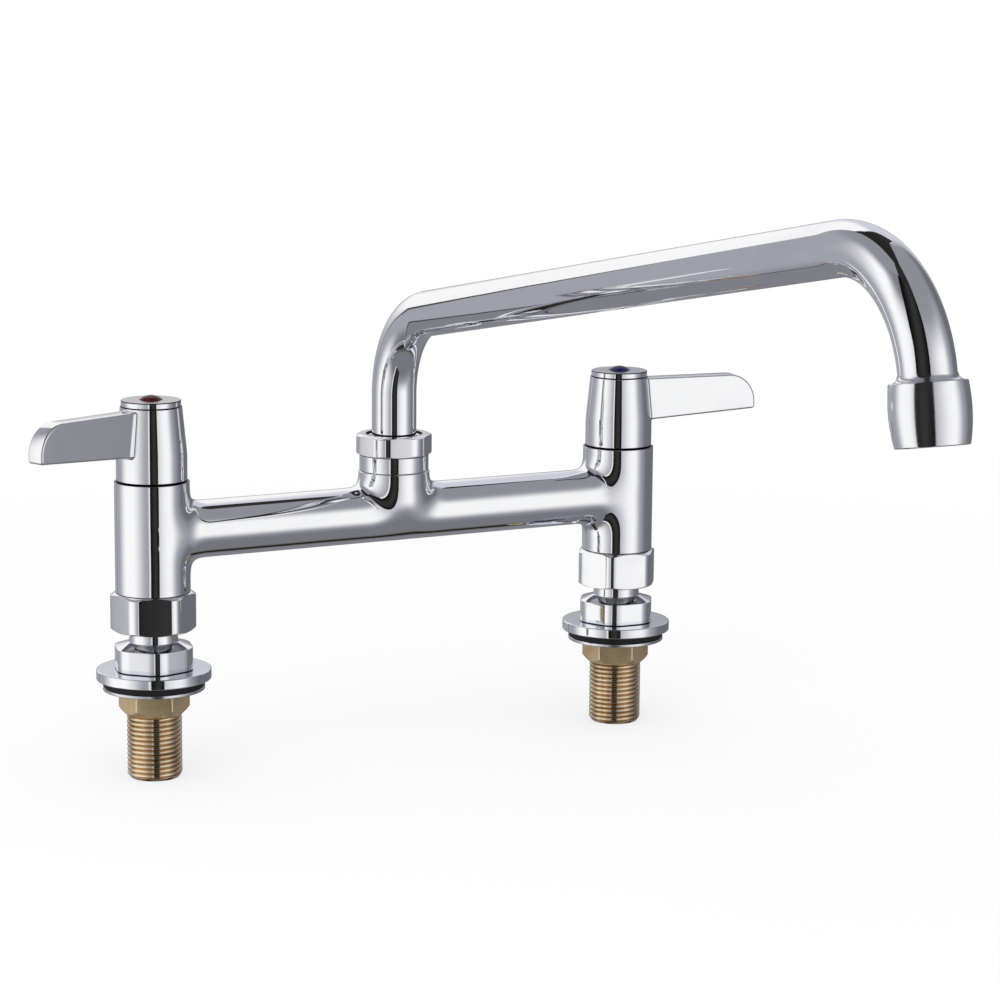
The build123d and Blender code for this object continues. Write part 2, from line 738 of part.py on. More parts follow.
# Outlet collar and aerator, along the end of the spout
outlet_down = drop % 1
collar_start = last_bend @ 1 + outlet_down * outlet_end_length
outlet_axis = Axis(collar_start, outlet_down)
outlet_side = Plane(collar_start, x_dir=(1, 0, 0), z_dir=Vector(1, 0, 0).cross(outlet_down))
aerator_radius = collar_end_radius - collar_wall
gasket_start = collar_socket_depth
screen_start = gasket_start + aerator_gasket_height
insert_start = screen_start + screen_height
insert_radius = aerator_radius - thread_clearance


def outlet_level(depth):
    """The plane across the outlet at a depth below the top of the collar."""
    return Plane(collar_start + outlet_down * depth, x_dir=(1, 0, 0), z_dir=outlet_down)


with BuildPart() as outlet_collar:
    with BuildSketch(outlet_side):
        with BuildLine():
            socket_radius = tube_radius + braze_gap
            lip = Line((socket_radius, -collar_flare), (socket_radius + collar_lip, -collar_flare))
            flare = JernArc(lip @ 1, (0, 1), collar_flare, -quarter_turn)
            shoulder = Line(flare @ 1, (collar_top_radius - collar_edge, 0))
            corner = Line(shoulder @ 1, (collar_top_radius, collar_edge))
            belly = ThreePointArc(
                (collar_top_radius, collar_edge),
                (collar_belly_radius, collar_belly_drop),
                (collar_end_radius, collar_length),
            )
            rim = Line(belly @ 1, (aerator_radius, collar_length))
            chamber = Line(rim @ 1, (aerator_radius, collar_socket_depth))
            ledge = Line(chamber @ 1, (socket_radius, collar_socket_depth))
            Line(ledge @ 1, lip @ 0)
        make_face()
    revolve(axis=outlet_axis)
save(outlet_collar, "outlet_collar")

with BuildPart() as aerator_gasket:
    with BuildSketch(outlet_level(gasket_start)):
        Circle(insert_radius)
        Circle(insert_radius - aerator_gasket_wall, mode=Mode.SUBTRACT)
    extrude(amount=aerator_gasket_height)
save(aerator_gasket, "aerator_gasket")

with BuildPart() as aerator_screen:
    with BuildSketch(outlet_level(screen_start)):
        Circle(insert_radius)
        for ring_radius, count in screen_hole_rings.items():
            with PolarLocations(ring_radius, count):
                Circle(screen_hole_radius, mode=Mode.SUBTRACT)
    extrude(amount=screen_height)
save(aerator_screen, "aerator_screen")

with BuildPart() as aerator_insert:
    with BuildSketch(outlet_level(insert_start)):
        Circle(insert_radius)
        for ring_radius, count in aerator_hole_rings.items():
            with PolarLocations(ring_radius, count):
                Circle(aerator_hole_radius, mode=Mode.SUBTRACT)
    extrude(amount=aerator_height)
save(aerator_insert, "aerator_insert")
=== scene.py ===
import json
import math

import bpy
import numpy as np
from mathutils import Matrix, Vector


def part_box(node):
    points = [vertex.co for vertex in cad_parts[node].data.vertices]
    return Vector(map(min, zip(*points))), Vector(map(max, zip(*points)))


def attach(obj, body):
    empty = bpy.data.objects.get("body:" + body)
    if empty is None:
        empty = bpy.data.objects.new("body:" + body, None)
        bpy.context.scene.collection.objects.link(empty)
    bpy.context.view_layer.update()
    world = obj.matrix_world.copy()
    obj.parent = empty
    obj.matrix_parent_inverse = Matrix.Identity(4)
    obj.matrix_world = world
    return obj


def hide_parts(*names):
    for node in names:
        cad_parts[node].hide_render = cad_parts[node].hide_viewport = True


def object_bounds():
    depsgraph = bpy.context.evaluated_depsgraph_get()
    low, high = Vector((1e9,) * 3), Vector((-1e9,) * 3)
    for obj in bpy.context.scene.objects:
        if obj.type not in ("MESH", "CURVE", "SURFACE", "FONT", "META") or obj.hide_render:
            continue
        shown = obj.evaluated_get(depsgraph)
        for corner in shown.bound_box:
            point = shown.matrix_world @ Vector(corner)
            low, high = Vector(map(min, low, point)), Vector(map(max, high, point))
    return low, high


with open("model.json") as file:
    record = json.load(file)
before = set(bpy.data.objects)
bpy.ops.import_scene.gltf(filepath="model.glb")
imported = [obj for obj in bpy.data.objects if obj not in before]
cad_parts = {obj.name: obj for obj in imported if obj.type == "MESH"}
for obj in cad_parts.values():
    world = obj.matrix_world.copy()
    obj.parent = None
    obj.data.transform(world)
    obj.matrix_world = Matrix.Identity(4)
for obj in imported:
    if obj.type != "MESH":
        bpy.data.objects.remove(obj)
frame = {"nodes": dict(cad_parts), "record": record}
cadBox = [list(corner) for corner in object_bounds()]
scene = bpy.context.scene
scene.view_settings.view_transform = "Standard"
slotOf = {part["node"]: part["material_slot"] for part in frame["record"]["subparts"]}
bodyOf = {node: body for body, members in frame["record"]["behaviour"]["bodies"].items() for node in members}
mm = 0.001
fullTurn, quarterTurn = 2 * np.pi, np.pi / 2
print("frame: loaded", len(slotOf), "nodes")

# camera: yaw turns from +Y towards +X, pitch looks down, roll leans the picture
cameraSetup = {"place": (-0.5277, -1.0818, 0.2761), "yaw": 27.99, "pitch": 9.99, "roll": 0.47,
               "lens": 111.8, "sensor": 36.0, "near": 0.01}


def aimCamera(setup):
    # right, up and back axes from the three angles, set as the columns of the camera's turn
    yaw, pitch, roll = (math.radians(setup[key]) for key in ("yaw", "pitch", "roll"))
    level = math.cos(pitch)
    forward = Vector((math.sin(yaw) * level, math.cos(yaw) * level, -math.sin(pitch)))
    right = Vector((math.cos(yaw), -math.sin(yaw), 0))
    up = right.cross(forward)
    leanRight = right * math.cos(roll) + up * math.sin(roll)
    leanUp = up * math.cos(roll) - right * math.sin(roll)
    turned = Matrix((leanRight, leanUp, -forward)).transposed().to_4x4()
    data = bpy.data.cameras.new("productCamera")
    data.lens = setup["lens"]
    data.sensor_width = setup["sensor"]
    data.clip_start = setup["near"]
    camera = bpy.data.objects.new("productCamera", data)
    camera.matrix_world = Matrix.Translation(setup["place"]) @ turned
    scene.collection.objects.link(camera)
    scene.camera = camera


aimCamera(cameraSetup)
print("camera: placed")


class Wire:
    # a socket of one shader tree; sums and products of wires and numbers add Math nodes
    def __init__(self, tree, socket=None):
        self.tree = tree
        self.socket = socket

    def add(self, kind, settings=None, inputs=None, output=0):
        # one node by its type: settings first, then the values or links of its sockets
        node = self.tree.nodes.new(kind)
        for key, value in (settings or {}).items():
            setattr(node, key, value)
        for key, value in (inputs or {}).items():
            if isinstance(value, Wire):
                self.tree.links.new(value.socket, node.inputs[key])
            else:
                node.inputs[key].default_value = value
        return Wire(self.tree, node.outputs[output] if node.outputs else None)

    def maths(self, operation, *values):
        # one Math node on the values, in order
        return self.add("ShaderNodeMath", {"operation": operation}, dict(enumerate(values)))

    def vector(self, operation, *others, output=0):
        # Vector Math on this vector and others
        values = dict(enumerate((self, *others)))
        return self.add("ShaderNodeVectorMath", {"operation": operation}, values, output)

    def __add__(self, other):
        return self.maths("ADD", self, other)

    def __sub__(self, other):
        return self.maths("SUBTRACT", self, other)

    def __rsub__(self, other):
        return self.maths("SUBTRACT", other, self)

    def __mul__(self, other):
        return self.maths("MULTIPLY", self, other)

    def __abs__(self):
        return self.maths("ABSOLUTE", self)

    __radd__ = __add__
    __rmul__ = __mul__

    def smooth(self, low, high):
        # 0 below low, 1 above high, an S curve between
        limits = {"Value": self, "From Min": low, "From Max": high}
        return self.add("ShaderNodeMapRange", {"interpolation_type": "SMOOTHSTEP"}, limits)

    def band(self, low, full, fading, high):
        # 1 between full and fading, 0 below low and above high
        return self.smooth(low, full) * (1 - self.smooth(fading, high))

    def mix(self, first, second):
        # colour that goes from first to second as this wire goes from 0 to 1
        return self.add("ShaderNodeMix", {"data_type": "RGBA"}, {0: self, 6: first, 7: second}, 2)

    def blend(self, first, second):
        # shader that goes from first to second as this wire goes from 0 to 1
        return self.add("ShaderNodeMixShader", None, {0: self, 1: first, 2: second})

    def noise(self, scale, detail=2.0, distortion=0.0):
        # soft random field on these coordinates
        return self.add("ShaderNodeTexNoise", None,
                        {"Vector": self, "Scale": scale, "Detail": detail, "Distortion": distortion})

    def bump(self, depth):
        # normal of a surface raised by this wire times the depth in metres
        return self.add("ShaderNodeBump", None, {"Strength": 1.0, "Distance": depth, "Height": self})

    def split(self):
        # the three coordinates as wires
        parts = self.add("ShaderNodeSeparateXYZ", None, {"Vector": self})
        return [Wire(self.tree, socket) for socket in parts.socket.node.outputs]

    def glow(self, colour):
        # light of one colour at plain strength
        return self.add("ShaderNodeEmission", None, {"Color": colour, "Strength": 1.0})

    def surface(self):
        # this shader becomes the surface of its material
        self.add("ShaderNodeOutputMaterial", None, {"Surface": self})


def newFinish(name):
    # an empty material, and the Object coordinates that its tree starts from
    material = bpy.data.materials.new(name)
    material.use_nodes = True
    material.node_tree.nodes.clear()
    return material, Wire(material.node_tree).add("ShaderNodeTexCoord", None, None, "Object")


def grey(level, tint=0.0):
    # a colour of one level, a little bluer as tint grows
    return (level, level, level * (1 + tint), 1)


def pick(setup, names):
    # the named sizes of one dictionary, in the order of the names
    return [setup[name] for name in names.split()]


# studio: white room, pale floor and one soft lamp
studio = {"ambient": 0.92, "softShade": (0.97, 0.03), "lampPower": 9.0, "lampPlace": (-0.7, -0.9, 1.5),
          "lampSize": 1.4, "floorSize": 6.0, "floorShade": (0.92, 0.94), "floorCloud": 3.0,
          "nearGlow": 0.66, "glowReach": (0.30, 0.85)}


def lightRoom(setup):
    # world: plain white to the eye and in reflections, an even soft light everywhere else
    world = bpy.data.worlds.new("whiteRoom")
    scene.world = world
    world.use_nodes = True
    world.node_tree.nodes.clear()
    start = Wire(world.node_tree)
    eye, mirror, glass = (start.add("ShaderNodeLightPath", None, None, ray)
                          for ray in ("Is Camera Ray", "Is Glossy Ray", "Is Transmission Ray"))
    plain = start.add("ShaderNodeBackground", None, {"Color": grey(1.0), "Strength": 1.0})
    soft = start.add("ShaderNodeBackground", None,
                     {"Color": grey(*setup["softShade"]), "Strength": setup["ambient"]})
    showing = start.maths("MINIMUM", eye + mirror + glass, 1.0)
    start.add("ShaderNodeOutputWorld", None, {"Surface": showing.blend(soft, plain)})
    lampData = bpy.data.lights.new("softLamp", "AREA")
    lampData.energy = setup["lampPower"]
    lampData.size = setup["lampSize"]
    lamp = bpy.data.objects.new("softLamp", lampData)
    lamp.location = setup["lampPlace"]
    lamp.rotation_euler = (-Vector(setup["lampPlace"])).to_track_quat("-Z", "Y").to_euler()
    lamp.visible_glossy = False
    scene.collection.objects.link(lamp)


def layFloor(setup):
    # a pale square under the lowest point; to the eye it glows a little near the faucet and fully far away
    half, low = setup["floorSize"] / 2, cadBox[0][2]
    corners = [(-half, -half, low), (half, -half, low), (half, half, low), (-half, half, low)]
    mesh = bpy.data.meshes.new("paleFloor")
    mesh.from_pydata(corners, [], [(0, 1, 2, 3)])
    floor = bpy.data.objects.new("paleFloor", mesh)
    material, place = newFinish("paleFloor")
    dark, pale = setup["floorShade"]
    shade = place.noise(setup["floorCloud"]).mix(grey(dark), grey(pale))
    lit = place.add("ShaderNodeBsdfDiffuse", None, {"Color": shade})
    away = place.vector("LENGTH", output="Value").smooth(*setup["glowReach"])
    glowing = away * (1 - setup["nearGlow"]) + setup["nearGlow"]
    eye = place.add("ShaderNodeLightPath", None, None, "Is Camera Ray")
    (eye * glowing).blend(lit, place.glow(grey(1.0))).surface()
    material.cycles.emission_sampling = "NONE"
    mesh.materials.append(material)
    floor.visible_glossy = False
    scene.collection.objects.link(floor)


# light tent that the metal alone sees: turn is degrees to the right of its slit, rise degrees above level
tent = {"centre": (0.0, -0.12, 0.09), "radius": 1.5, "rows": 37, "columns": 73, "front": -136.0, "blue": 0.13,
        "cloth": 0.37, "dim": 0.155, "dimRight": (98.0, 132.0), "dimBack": (-180.0, -140.0),
        "ceiling": 0.28, "ceilingRise": (30.0, 52.0), "floor": 0.19, "floorRise": (-50.0, -24.0)}
softBoxes = {"left": {"level": 1.0, "near": (-98.0, -64.0), "far": (-44.0, 2.0), "middle": 0.0,
                      "tall": (35.0, 55.0)},
             "right": {"level": 0.97, "near": (12.0, 72.0), "far": (78.0, 106.0), "middle": 2.5,
                       "tall": (16.0, 41.0)}}
backPanel = {"heading": 75.0, "near": (-58.0, -40.0), "far": 36.3, "farSoft": 0.5, "lean": 0.22,
             "low": 8.6, "lowLean": 0.20, "soft": 9.0, "high": (60.0, 66.0),
             "dull": 0.64, "bright": 0.97, "fade": (-22.0, -8.0),
             "seam": (-0.3, 0.3, 1.2, 2.0), "seamRise": (-60.0, -50.0, 14.0, 25.0), "seamShade": 0.06,
             "skirt": 0.22, "skirtRise": (-26.0, -14.0)}
slit = {"left": (-0.32, -0.42), "right": (-0.115, -0.622), "top": (-0.147, -0.59),
        "upper": (-0.340, -0.400), "crown": (-0.356, -0.384), "low": -0.6, "bend": 0.40, "high": 0.90,
        "upperLow": 0.32, "edge": 0.006, "heart": 0.034, "hem": (-0.347, -0.393), "hemHigh": 0.26,
        "hemEdge": 0.7, "hemHeart": 0.8, "wing": (-0.68, -0.065), "wingShade": 0.21,
        "wingFade": (0.16, 0.64), "wingRise": (0.24, 0.55)}
roofGap = {"height": 1.09, "heart": 0.02, "edge": 0.03, "reach": 0.5,
           "front": ((-0.04, -0.37), (-0.35, -1.06), (-0.77, -0.58), (-0.19, -0.30)),
           "back": ((-0.14, -0.03), (-0.10, 0.31), (-0.18, 0.72), (-0.11, 0.49), (0.12, 0.345), (0.44, 0.34),
                    (0.68, 0.20), (0.36, 0.02))}
footStrip = {"height": -0.5, "ends": (-0.9, 0.9), "sides": (-0.05, 0.20), "heart": 0.0, "edge": 0.17}


def glossyOnly(name, mesh, material):
    # a card that only reflections can see
    mesh.materials.append(material)
    material.cycles.emission_sampling = "NONE"
    card = bpy.data.objects.new(name, mesh)
    card.visible_camera = False
    card.visible_diffuse = False
    card.visible_shadow = False
    card.visible_volume_scatter = False
    scene.collection.objects.link(card)


def bearing(x, y, heading):
    # degrees round the upright axis, counted from a heading
    cosine, sine = math.cos(math.radians(heading)), math.sin(math.radians(heading))
    return x.maths("ARCTAN2", y * cosine - x * sine, x * cosine + y * sine) * math.degrees(1)


def raiseTent(setup):
    # a sphere of rows by height angle and columns by heading, lit by products of S curves in turn and rise
    rows, columns = setup["rows"], setup["columns"]
    around, upright = np.linspace(0, fullTurn, columns), np.linspace(-quarterTurn, quarterTurn, rows)
    heading, height = np.meshgrid(around, upright)
    ball = np.stack([np.cos(height) * np.cos(heading), np.cos(height) * np.sin(heading), np.sin(height)], -1)
    points = ball * setup["radius"] + np.array(setup["centre"])
    index = np.arange(rows * columns).reshape(rows, columns)
    quads = np.stack([index[:-1, :-1], index[1:, :-1], index[1:, 1:], index[:-1, 1:]], -1).reshape(-1, 4)
    mesh = bpy.data.meshes.new("lightTent")
    mesh.from_pydata(points.reshape(-1, 3).tolist(), [], quads.tolist())
    material, place = newFinish("lightTent")
    x, y, z = place.vector("SUBTRACT", setup["centre"]).vector("NORMALIZE").split()
    turn = bearing(x, y, setup["front"])
    back = bearing(x, y, backPanel["heading"])
    rise = place.maths("ARCSINE", z) * math.degrees(1)
    blue = setup["blue"]
    dimmed = turn.smooth(*setup["dimRight"]) + 1 - turn.smooth(*setup["dimBack"])
    shade = dimmed.mix(grey(setup["cloth"], blue), grey(setup["dim"], blue))
    shade = rise.smooth(*setup["ceilingRise"]).mix(shade, grey(setup["ceiling"], blue))
    # back panel: its low edge sinks towards the right, its far edge leans in with height
    panel = back.smooth(*backPanel["fade"]).mix(grey(backPanel["dull"], blue), grey(backPanel["bright"]))
    lowEdge = rise + place.maths("MAXIMUM", back, 0.0) * backPanel["lowLean"] - backPanel["low"]
    farEdge = back + place.maths("MAXIMUM", rise, 0.0) * backPanel["lean"] - backPanel["far"]
    soft, farSoft = backPanel["soft"], backPanel["farSoft"]
    inside = back.smooth(*backPanel["near"]) * (1 - farEdge.smooth(-farSoft, farSoft))
    shown = inside * lowEdge.smooth(-soft, soft) * (1 - rise.smooth(*backPanel["high"]))
    shade = shown.mix(shade, panel)
    for box in softBoxes.values():
        wide = turn.smooth(*box["near"]) * (1 - turn.smooth(*box["far"]))
        tall = 1 - abs(rise - box["middle"]).smooth(*box["tall"])
        shade = (wide * tall).mix(shade, grey(box["level"]))
    # floor below everything, then the panel's dark skirt and the seam along its far edge
    shade = rise.smooth(*setup["floorRise"]).mix(grey(setup["floor"], blue), shade)
    skirt = inside * (1 - rise.smooth(*backPanel["skirtRise"]))
    shade = skirt.mix(shade, grey(backPanel["skirt"], blue))
    seam = farEdge.band(*backPanel["seam"]) * rise.band(*backPanel["seamRise"])
    place.glow(seam.mix(shade, grey(backPanel["seamShade"]))).surface()
    glossyOnly("lightTent", mesh, material)


def cutCard(name, corners, middle, across):
    # a flat card with an empty finish; gives each point's distance from its middle line and its coordinates
    mesh = bpy.data.meshes.new(name)
    mesh.from_pydata(corners, [], [tuple(range(len(corners)))])
    material, place = newFinish(name)
    glossyOnly(name, mesh, material)
    return abs(place.vector("SUBTRACT", middle).vector("DOT_PRODUCT", across, output="Value")), place


def hangCard(name, corners, middle, across, half, edge, heart):
    # a card whose shade goes from the heart level on its middle line to the edge level at half its width
    aside = cutCard(name, corners, middle, across)[0]
    aside.glow(aside.smooth(0.0, half).mix(grey(heart), grey(edge))).surface()


def hangSlit(setup):
    # the gap that the camera looks through: above its bright hem it widens to the left, where a grey wing
    # fades out
    left, right, top, upper, crown, hem, wing = (
        np.array(spot) for spot in pick(setup, "left right top upper crown hem wing"))
    centre, half = (left + right) / 2, np.linalg.norm(right - left) / 2
    across = (*((right - centre) / half), 0)

    def corners(*spots):
        # each spot at its named height
        return [(*spot, setup[level]) for spot, level in spots]

    gap = corners((left, "low"), (right, "low"), (right, "bend"), (top, "high"), (crown, "high"),
                  (upper, "upperLow"), (left, "hemHigh"))
    hangCard("tentSlit", gap, (*centre, 0), across, half, setup["edge"], setup["heart"])
    strip = corners((hem, "low"), (left, "low"), (left, "hemHigh"), (hem, "hemHigh"))
    hangCard("slitHem", strip, (*left, 0), across, half, setup["hemEdge"], setup["hemHeart"])
    flap = corners((wing, "hemHigh"), (upper, "hemHigh"), (upper, "upperLow"), (crown, "high"),
                   (wing, "high"))
    aside, place = cutCard("slitWing", flap, (*centre, 0), across)
    shown = (1 - aside.smooth(*setup["wingFade"])) * place.split()[2].smooth(*setup["wingRise"])
    clear = place.add("ShaderNodeBsdfTransparent")
    shown.blend(clear, place.glow(grey(setup["wingShade"], tent["blue"]))).surface()


def hangRoofGap(setup):
    # a dark gap overhead: a wedge that opens to the front, a narrow waist, and a wedge along the back panel
    height, reach, edge, heart = pick(setup, "height reach edge heart")
    corners = [(*spot, height) for spot in setup["front"] + setup["back"]]
    hangCard("roofGap", corners, (0, 0, height), (1, 0, 0), reach, edge, heart)


def layFootStrip(setup):
    # a soft dark line along the bridge, far below it
    (start, end), (front, back), height = pick(setup, "ends sides height")
    corners = [(start, front, height), (end, front, height), (end, back, height), (start, back, height)]
    middle, half = (0, (front + back) / 2, height), (back - front) / 2
    hangCard("footStrip", corners, middle, (0, 1, 0), half, setup["edge"], setup["heart"])


lightRoom(studio)
layFloor(studio)
raiseTent(tent)
hangSlit(slit)
hangRoofGap(roofGap)
layFootStrip(footStrip)
print("studio: room, floor, tent, slit, roof gap and foot strip")

# chrome plate: bright, with a faint hand film, polishing waves and fine pitting; heights in mm
# ring: painted shade, a dark line round the spout nut's step; top: the upper face takes the film colour all
# over, painted shade
# satin: more roughness on one node
# the listed line heights hold painted shade with some grime: thin dark lines at joints, over the coupling
# nut's underside and just below the cap's top edge
plating = {
    "cast_chrome": {"bright": (0.935, 0.94, 0.95, 1), "film": (0.88, 0.885, 0.90, 1), "rough": 0.035,
                    "filmRough": 0.04, "wave": 42.0, "waveDepth": 0.000090, "smear": 26.0,
                    "darkLineHeights": (36.35, 79.0)},
    "nut_chrome": {"bright": (0.935, 0.94, 0.95, 1), "film": (0.87, 0.875, 0.89, 1), "rough": 0.04,
                   "filmRough": 0.05, "wave": 90.0, "waveDepth": 0.000040, "smear": 60.0,
                   "darkLineHeights": (6.75, 21.3, 76.0, 82.4), "ring": 10.9},
    # flange_chrome's top is painted shade: its upper face takes the bluish film colour all over
    "flange_chrome": {"bright": (0.93, 0.935, 0.95, 1), "film": (0.76, 0.80, 0.87, 1), "rough": 0.05,
                      "filmRough": 0.06, "wave": 70.0, "waveDepth": 0.000035, "smear": 45.0,
                      "darkLineHeights": (2.6,), "top": (6.3, 6.55)},
    "lever_chrome": {"bright": (0.935, 0.94, 0.95, 1), "film": (0.88, 0.885, 0.90, 1), "rough": 0.035,
                     "filmRough": 0.05, "wave": 38.0, "waveDepth": 0.000050, "smear": 30.0,
                     "darkLineHeights": (79.4, 107.45, 109.66)},
    "spout_chrome": {"bright": (0.94, 0.945, 0.955, 1), "film": (0.89, 0.895, 0.91, 1), "rough": 0.03,
                     "filmRough": 0.04, "wave": 30.0, "waveDepth": 0.000060, "smear": 22.0,
                     "darkLineHeights": (89.7,), "satinNode": "outlet_collar", "satin": 0.09},
}
plateDetail = {"filmDetail": 3.0, "filmWarp": 0.8, "filmRange": (0.50, 0.80), "pits": 2600.0,
               "pitRange": (0.70, 0.86), "pitDepth": 0.02}
# painted shade with some grime: width, colour and roughness of the dark lines
shadeAndGrime = {"width": (0.00010, 0.00032), "ringWidth": (0.00022, 0.00042), "shade": (0.05, 0.05, 0.055, 1),
         "rough": 0.30}


def chromePlate(name, plate):
    # film from a warped noise, waves and pits as bump heights; painted shade with some grime as thin dark
    # lines at the listed heights and round a ring; the film covers a top as painted shade, and roughness is
    # added in front of and under a satin node's far corner
    material, place = newFinish(name)
    smear = place.noise(plate["smear"], plateDetail["filmDetail"], plateDetail["filmWarp"])
    film = smear.smooth(*plateDetail["filmRange"])
    pits = place.noise(plateDetail["pits"], 1.0).smooth(*plateDetail["pitRange"])
    height = place.noise(plate["wave"], 1.0) - pits * plateDetail["pitDepth"]
    ahead, up = place.split()[1:]
    # painted shade with some grime: a thin dark line at each listed height
    darkLineMasks = [abs(up - seam * mm).smooth(*shadeAndGrime["width"]) for seam in plate["darkLineHeights"]]
    # painted shade: a dark line round the ring in the spout nut's step
    if "ring" in plate:
        out = place.vector("MULTIPLY", (1, 1, 0)).vector("LENGTH", output="Value")
        darkLineMasks.append(abs(out - plate["ring"] * mm).smooth(*shadeAndGrime["ringWidth"]))
    # 1 away from every line of painted shade
    clearOfDarkLines = math.prod(darkLineMasks[1:], start=darkLineMasks[0])
    dull = film
    # painted shade: where a top is given, the whole upper face takes the film colour
    if "top" in plate:
        low, high = plate["top"]
        dull = place.maths("MAXIMUM", film, up.smooth(low * mm, high * mm))
    # the lines of painted shade take the dark colour; elsewhere bright plate and film
    shade = clearOfDarkLines.mix(shadeAndGrime["shade"], dull.mix(plate["bright"], plate["film"]))
    rough = film * plate["filmRough"] + plate["rough"] + (1 - clearOfDarkLines) * shadeAndGrime["rough"]
    if "satinNode" in plate:
        front, top = (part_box(plate["satinNode"])[1][axis] for axis in (1, 2))
        inFront, under = 1 - ahead.smooth(front, front + mm), 1 - up.smooth(top - mm, top)
        rough = rough + inFront * under * plate["satin"]
    place.add("ShaderNodeBsdfPrincipled", None, {"Base Color": shade, "Metallic": 1.0, "Roughness": rough,
                                                 "Normal": height.bump(plate["waveDepth"])}).surface()
    return material


# bare brass: turned or milled lines, browner where it has tarnished, a dark band as height and spread in
# metres
brassWork = {
    "shank_brass": {"bright": (0.88, 0.74, 0.53, 1), "tarnish": (0.64, 0.50, 0.31, 1), "metal": 1.0,
                    "rough": 0.11, "roughMore": 0.09, "lines": (90.0, 90.0, 5200.0),
                    "lineDepth": 0.000003, "patch": 70.0, "darkBand": (0.0, 0.001)},
    "nut_brass": {"bright": (0.95, 0.74, 0.43, 1), "tarnish": (0.70, 0.51, 0.27, 1), "metal": 0.86,
                  "rough": 0.26, "roughMore": 0.14, "lines": (160.0, 160.0, 3600.0),
                  "lineDepth": 0.000012, "patch": 90.0, "darkBand": (-0.0014, 0.0004)},
    # inner_brass is painted shade: dark all over, with its band at the gap under the lever, plus some grease
    "inner_brass": {"bright": (0.34, 0.26, 0.14, 1), "tarnish": (0.24, 0.18, 0.10, 1), "metal": 1.0,
                    "rough": 0.26, "roughMore": 0.12, "lines": (120.0, 120.0, 4200.0),
                    "lineDepth": 0.000010, "patch": 60.0, "darkBand": (0.0792, 0.0014)},
}
brassDetail = {"patchRange": (0.42, 0.72), "patchShare": 0.75, "lineShare": 0.25,
               "darkBand": (0.012, 0.011, 0.010, 1), "darkBandRough": 0.35}


def bareBrass(name, work):
    # tool lines from a noise squeezed along Z, tarnish in patches, a black band at one height
    material, place = newFinish(name)
    lines = place.add("ShaderNodeMapping", None, {"Vector": place, "Scale": work["lines"]}).noise(1.0, 3.0)
    patch = place.noise(work["patch"], 3.0, 0.5).smooth(*brassDetail["patchRange"])
    worn = patch * brassDetail["patchShare"] + lines * brassDetail["lineShare"]
    metal = place.maths("MINIMUM", worn, 1.0).mix(work["bright"], work["tarnish"])
    # black band at one height; on the inner brass it is painted shade in the gap under the lever
    height, spread = work["darkBand"]
    clearOfDarkLines = abs(place.split()[2] - height).smooth(0.5 * spread, spread)
    rough = patch * work["roughMore"] + work["rough"] + (1 - clearOfDarkLines) * brassDetail["darkBandRough"]
    place.add("ShaderNodeBsdfPrincipled", None,
              {"Base Color": clearOfDarkLines.mix(brassDetail["darkBand"], metal), "Metallic": work["metal"],
               "Roughness": rough, "Normal": lines.bump(work["lineDepth"])}).surface()
    return material


# steel, rubber, ceramic and plastics: two shades, two gloss levels and a grain
plainWork = {
    "steel": {"shades": ((0.80, 0.81, 0.83, 1), (0.66, 0.67, 0.69, 1)), "metal": 1.0,
              "gloss": (0.16, 0.30), "grain": 700.0, "grainDepth": 0.000008, "cloud": 60.0, "shine": 0.5},
    "rubber": {"shades": ((0.006, 0.006, 0.007, 1), (0.016, 0.015, 0.015, 1)), "metal": 0.0,
               "gloss": (0.48, 0.66), "grain": 1800.0, "grainDepth": 0.000030, "cloud": 90.0, "shine": 0.3},
    "ceramic": {"shades": ((0.90, 0.89, 0.86, 1), (0.84, 0.83, 0.80, 1)), "metal": 0.0,
                "gloss": (0.10, 0.18), "grain": 900.0, "grainDepth": 0.000004, "cloud": 80.0, "shine": 0.5},
    "white_plastic": {"shades": ((0.84, 0.84, 0.82, 1), (0.78, 0.78, 0.76, 1)), "metal": 0.0,
                      "gloss": (0.34, 0.46), "grain": 1200.0, "grainDepth": 0.000012, "cloud": 120.0,
                      "shine": 0.5},
    "hot_index": {"shades": ((0.060, 0.006, 0.010, 1), (0.030, 0.004, 0.007, 1)), "metal": 0.0,
                  "gloss": (0.10, 0.20), "grain": 900.0, "grainDepth": 0.000006, "cloud": 240.0,
                  "shine": 0.2},
    "cold_index": {"shades": ((0.010, 0.014, 0.070, 1), (0.006, 0.008, 0.036, 1)), "metal": 0.0,
                   "gloss": (0.10, 0.20), "grain": 900.0, "grainDepth": 0.000006, "cloud": 240.0,
                   "shine": 0.2},
}
cloudRange = (0.35, 0.70)


def plainFinish(name, work):
    # a soft cloud picks shade and gloss, a fine noise gives the grain
    material, place = newFinish(name)
    cloud = place.noise(work["cloud"], 3.0).smooth(*cloudRange)
    grain = place.noise(work["grain"], 2.0)
    low, high = work["gloss"]
    place.add("ShaderNodeBsdfPrincipled", None,
              {"Base Color": cloud.mix(*work["shades"]), "Metallic": work["metal"],
               "Specular IOR Level": work["shine"], "Roughness": cloud * (high - low) + low,
               "Normal": grain.bump(work["grainDepth"])}).surface()
    return material


finishes = {name: chromePlate(name, plate) for name, plate in plating.items()}
finishes |= {name: bareBrass(name, work) for name, work in brassWork.items()}
finishes |= {name: plainFinish(name, work) for name, work in plainWork.items()}
for node, shown in frame["nodes"].items():
    shown.data.materials.clear()
    shown.data.materials.append(finishes[slotOf[node]])
print("finishes:", len(finishes))

weldStep = 1e-7  # metres; points nearer than this become one


